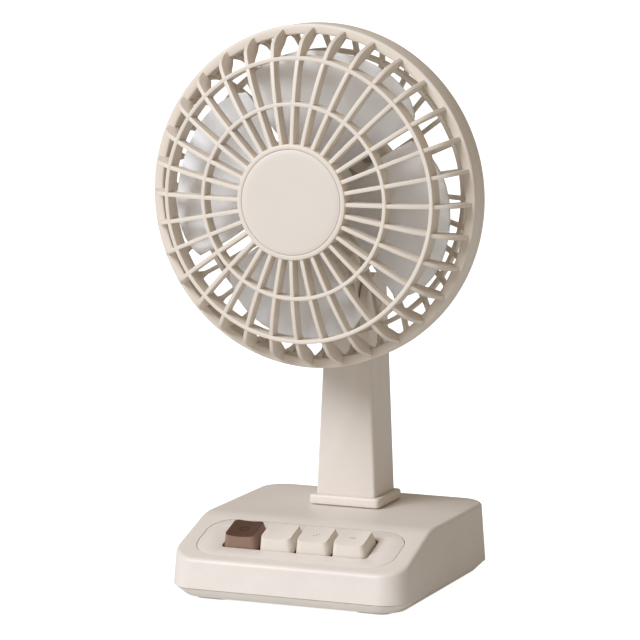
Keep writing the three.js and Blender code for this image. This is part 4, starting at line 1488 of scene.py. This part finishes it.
@dataclass
class Studio:
    """The floor, the light and the camera."""

    target: tuple[float, float, float] = (0.0, -18.2, 136.0)
    azimuth: float = 21.8
    elevation: float = 8.2
    roll: float = 0.3
    distance: float = 1770.8
    lens: float = 202.5
    key_strength: float = 2.95
    key_width: float = 32.0
    key_colour: Colour = (0.845, 0.89, 0.985)
    key_from: tuple[float, float, float] = (-0.4, -0.71, 0.56)
    surround_colour: tuple[float, float, float, float] = (1.0, 0.885, 0.74, 1.0)
    ambient: float = 0.32
    floor_colour: tuple[float, float, float, float] = (0.62, 0.615, 0.6, 1.0)
    floor_lift: float = 0.78
    floor_glow: float = 0.1

    def build_floor(self) -> None:
        """A wide pale floor."""
        start()
        bpy.ops.mesh.primitive_plane_add(size=40, location=(0, 0, 0))
        floor = bpy.context.object
        floor.name = "floor"
        material = bpy.data.materials.new("pale floor")
        material.use_nodes = True
        wiring = Wiring(material.node_tree)
        shader = wiring.fill(wiring.tree.nodes["Principled BSDF"], {
            "Base Color": self.floor_colour,
            "Specular IOR Level": 0.1,
            "Emission Color": (1.0, 1.0, 1.0, 1.0),
        })
        place = wiring.add("TexCoord")
        noise = wiring.add("TexNoise", {"Scale": 3.0})
        tone = wiring.add("MapRange", {"To Min": 0.72, "To Max": 0.8})
        path = wiring.add("LightPath")
        seen = wiring.add("Math", operation="MAXIMUM")
        lift = wiring.add("Math", {1: self.floor_lift}, operation="MULTIPLY")
        glow = wiring.add("Math", {1: self.floor_glow})
        wiring.join(
            (place, "Object", noise, "Vector"),
            (noise, "Fac", tone, "Value"),
            (tone, "Result", shader, "Roughness"),
            (path, "Is Camera Ray", seen, 0),
            (path, "Is Transmission Ray", seen, 1),
            (seen, 0, lift, 0),
            (lift, 0, glow, 0),
            (glow, 0, shader, "Emission Strength"),
        )
        floor.data.materials.append(material)
        floor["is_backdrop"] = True

    def build_light(self) -> None:
        """A soft key from the front left and an even surround."""
        world = bpy.data.worlds.new("studio")
        world.use_nodes = True
        wiring = Wiring(world.node_tree)
        surround = wiring.fill(wiring.tree.nodes["Background"], {"Color": self.surround_colour})
        path = wiring.add("LightPath")
        level = wiring.add("MapRange", {"To Min": self.ambient, "To Max": 1.0})
        wiring.join((path, "Is Transmission Ray", level, "Value"), (level, "Result", surround, "Strength"))
        bpy.context.scene.world = world
        key = bpy.data.lights.new("key", "SUN")
        key.energy = self.key_strength
        key.angle = math.radians(self.key_width)
        key.color = self.key_colour
        lamp = bpy.data.objects.new("key", key)
        bpy.context.collection.objects.link(lamp)
        lamp.rotation_mode = "QUATERNION"
        lamp.rotation_quaternion = Vector(self.key_from).to_track_quat("Z", "Y")

    def build_camera(self) -> None:
        """The camera in front of the fan, to its right."""
        data = bpy.data.cameras.new("camera")
        data.lens = self.lens
        data.sensor_width = 36.0
        data.clip_end = 100.0
        camera = bpy.data.objects.new("camera", data)
        bpy.context.collection.objects.link(camera)
        turn, lift = math.radians(self.azimuth), math.radians(self.elevation)
        back = Vector((math.sin(turn) * math.cos(lift), -math.cos(turn) * math.cos(lift), math.sin(lift)))
        camera.location = mm(*self.target) + back * self.distance * MM
        camera.rotation_mode = "QUATERNION"
        camera.rotation_quaternion = (-back).to_track_quat("-Z", "Y") @ Quaternion((0, 0, 1), math.radians(self.roll))
        bpy.context.scene.camera = camera

    def build(self) -> None:
        """Sets up the whole studio."""
        self.build_floor()
        self.build_light()
        self.build_camera()
        bpy.context.scene.view_settings.view_transform = "Standard"


def write_sizes() -> None:
    """Works out the box of the part and the box of the visual model."""
    boxes = {"cad": CAD_BOX, "visual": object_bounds()}
    plain = {name: [list(low), list(high)] for name, (low, high) in boxes.items()}


def main() -> None:
    """Builds the fan and the studio round it."""
    logging.basicConfig(level=logging.INFO, format="%(name)s: %(message)s")
    finishes = Finishes()
    Inside().dress(finishes)
    base, panel, column, head = Base(), KeyPanel(), Column(), Head()
    base.dress(finishes, panel, column)
    panel.dress(finishes, base)
    column.dress(finishes)
    FrontGrille(head).dress(finishes)
    RearGuard(head).dress(finishes)
    Impeller(head).dress(finishes)
    MotorHousing(head, column).dress(finishes)
    Studio().build()
    write_sizes()


if __name__ == "__main__":
    main()
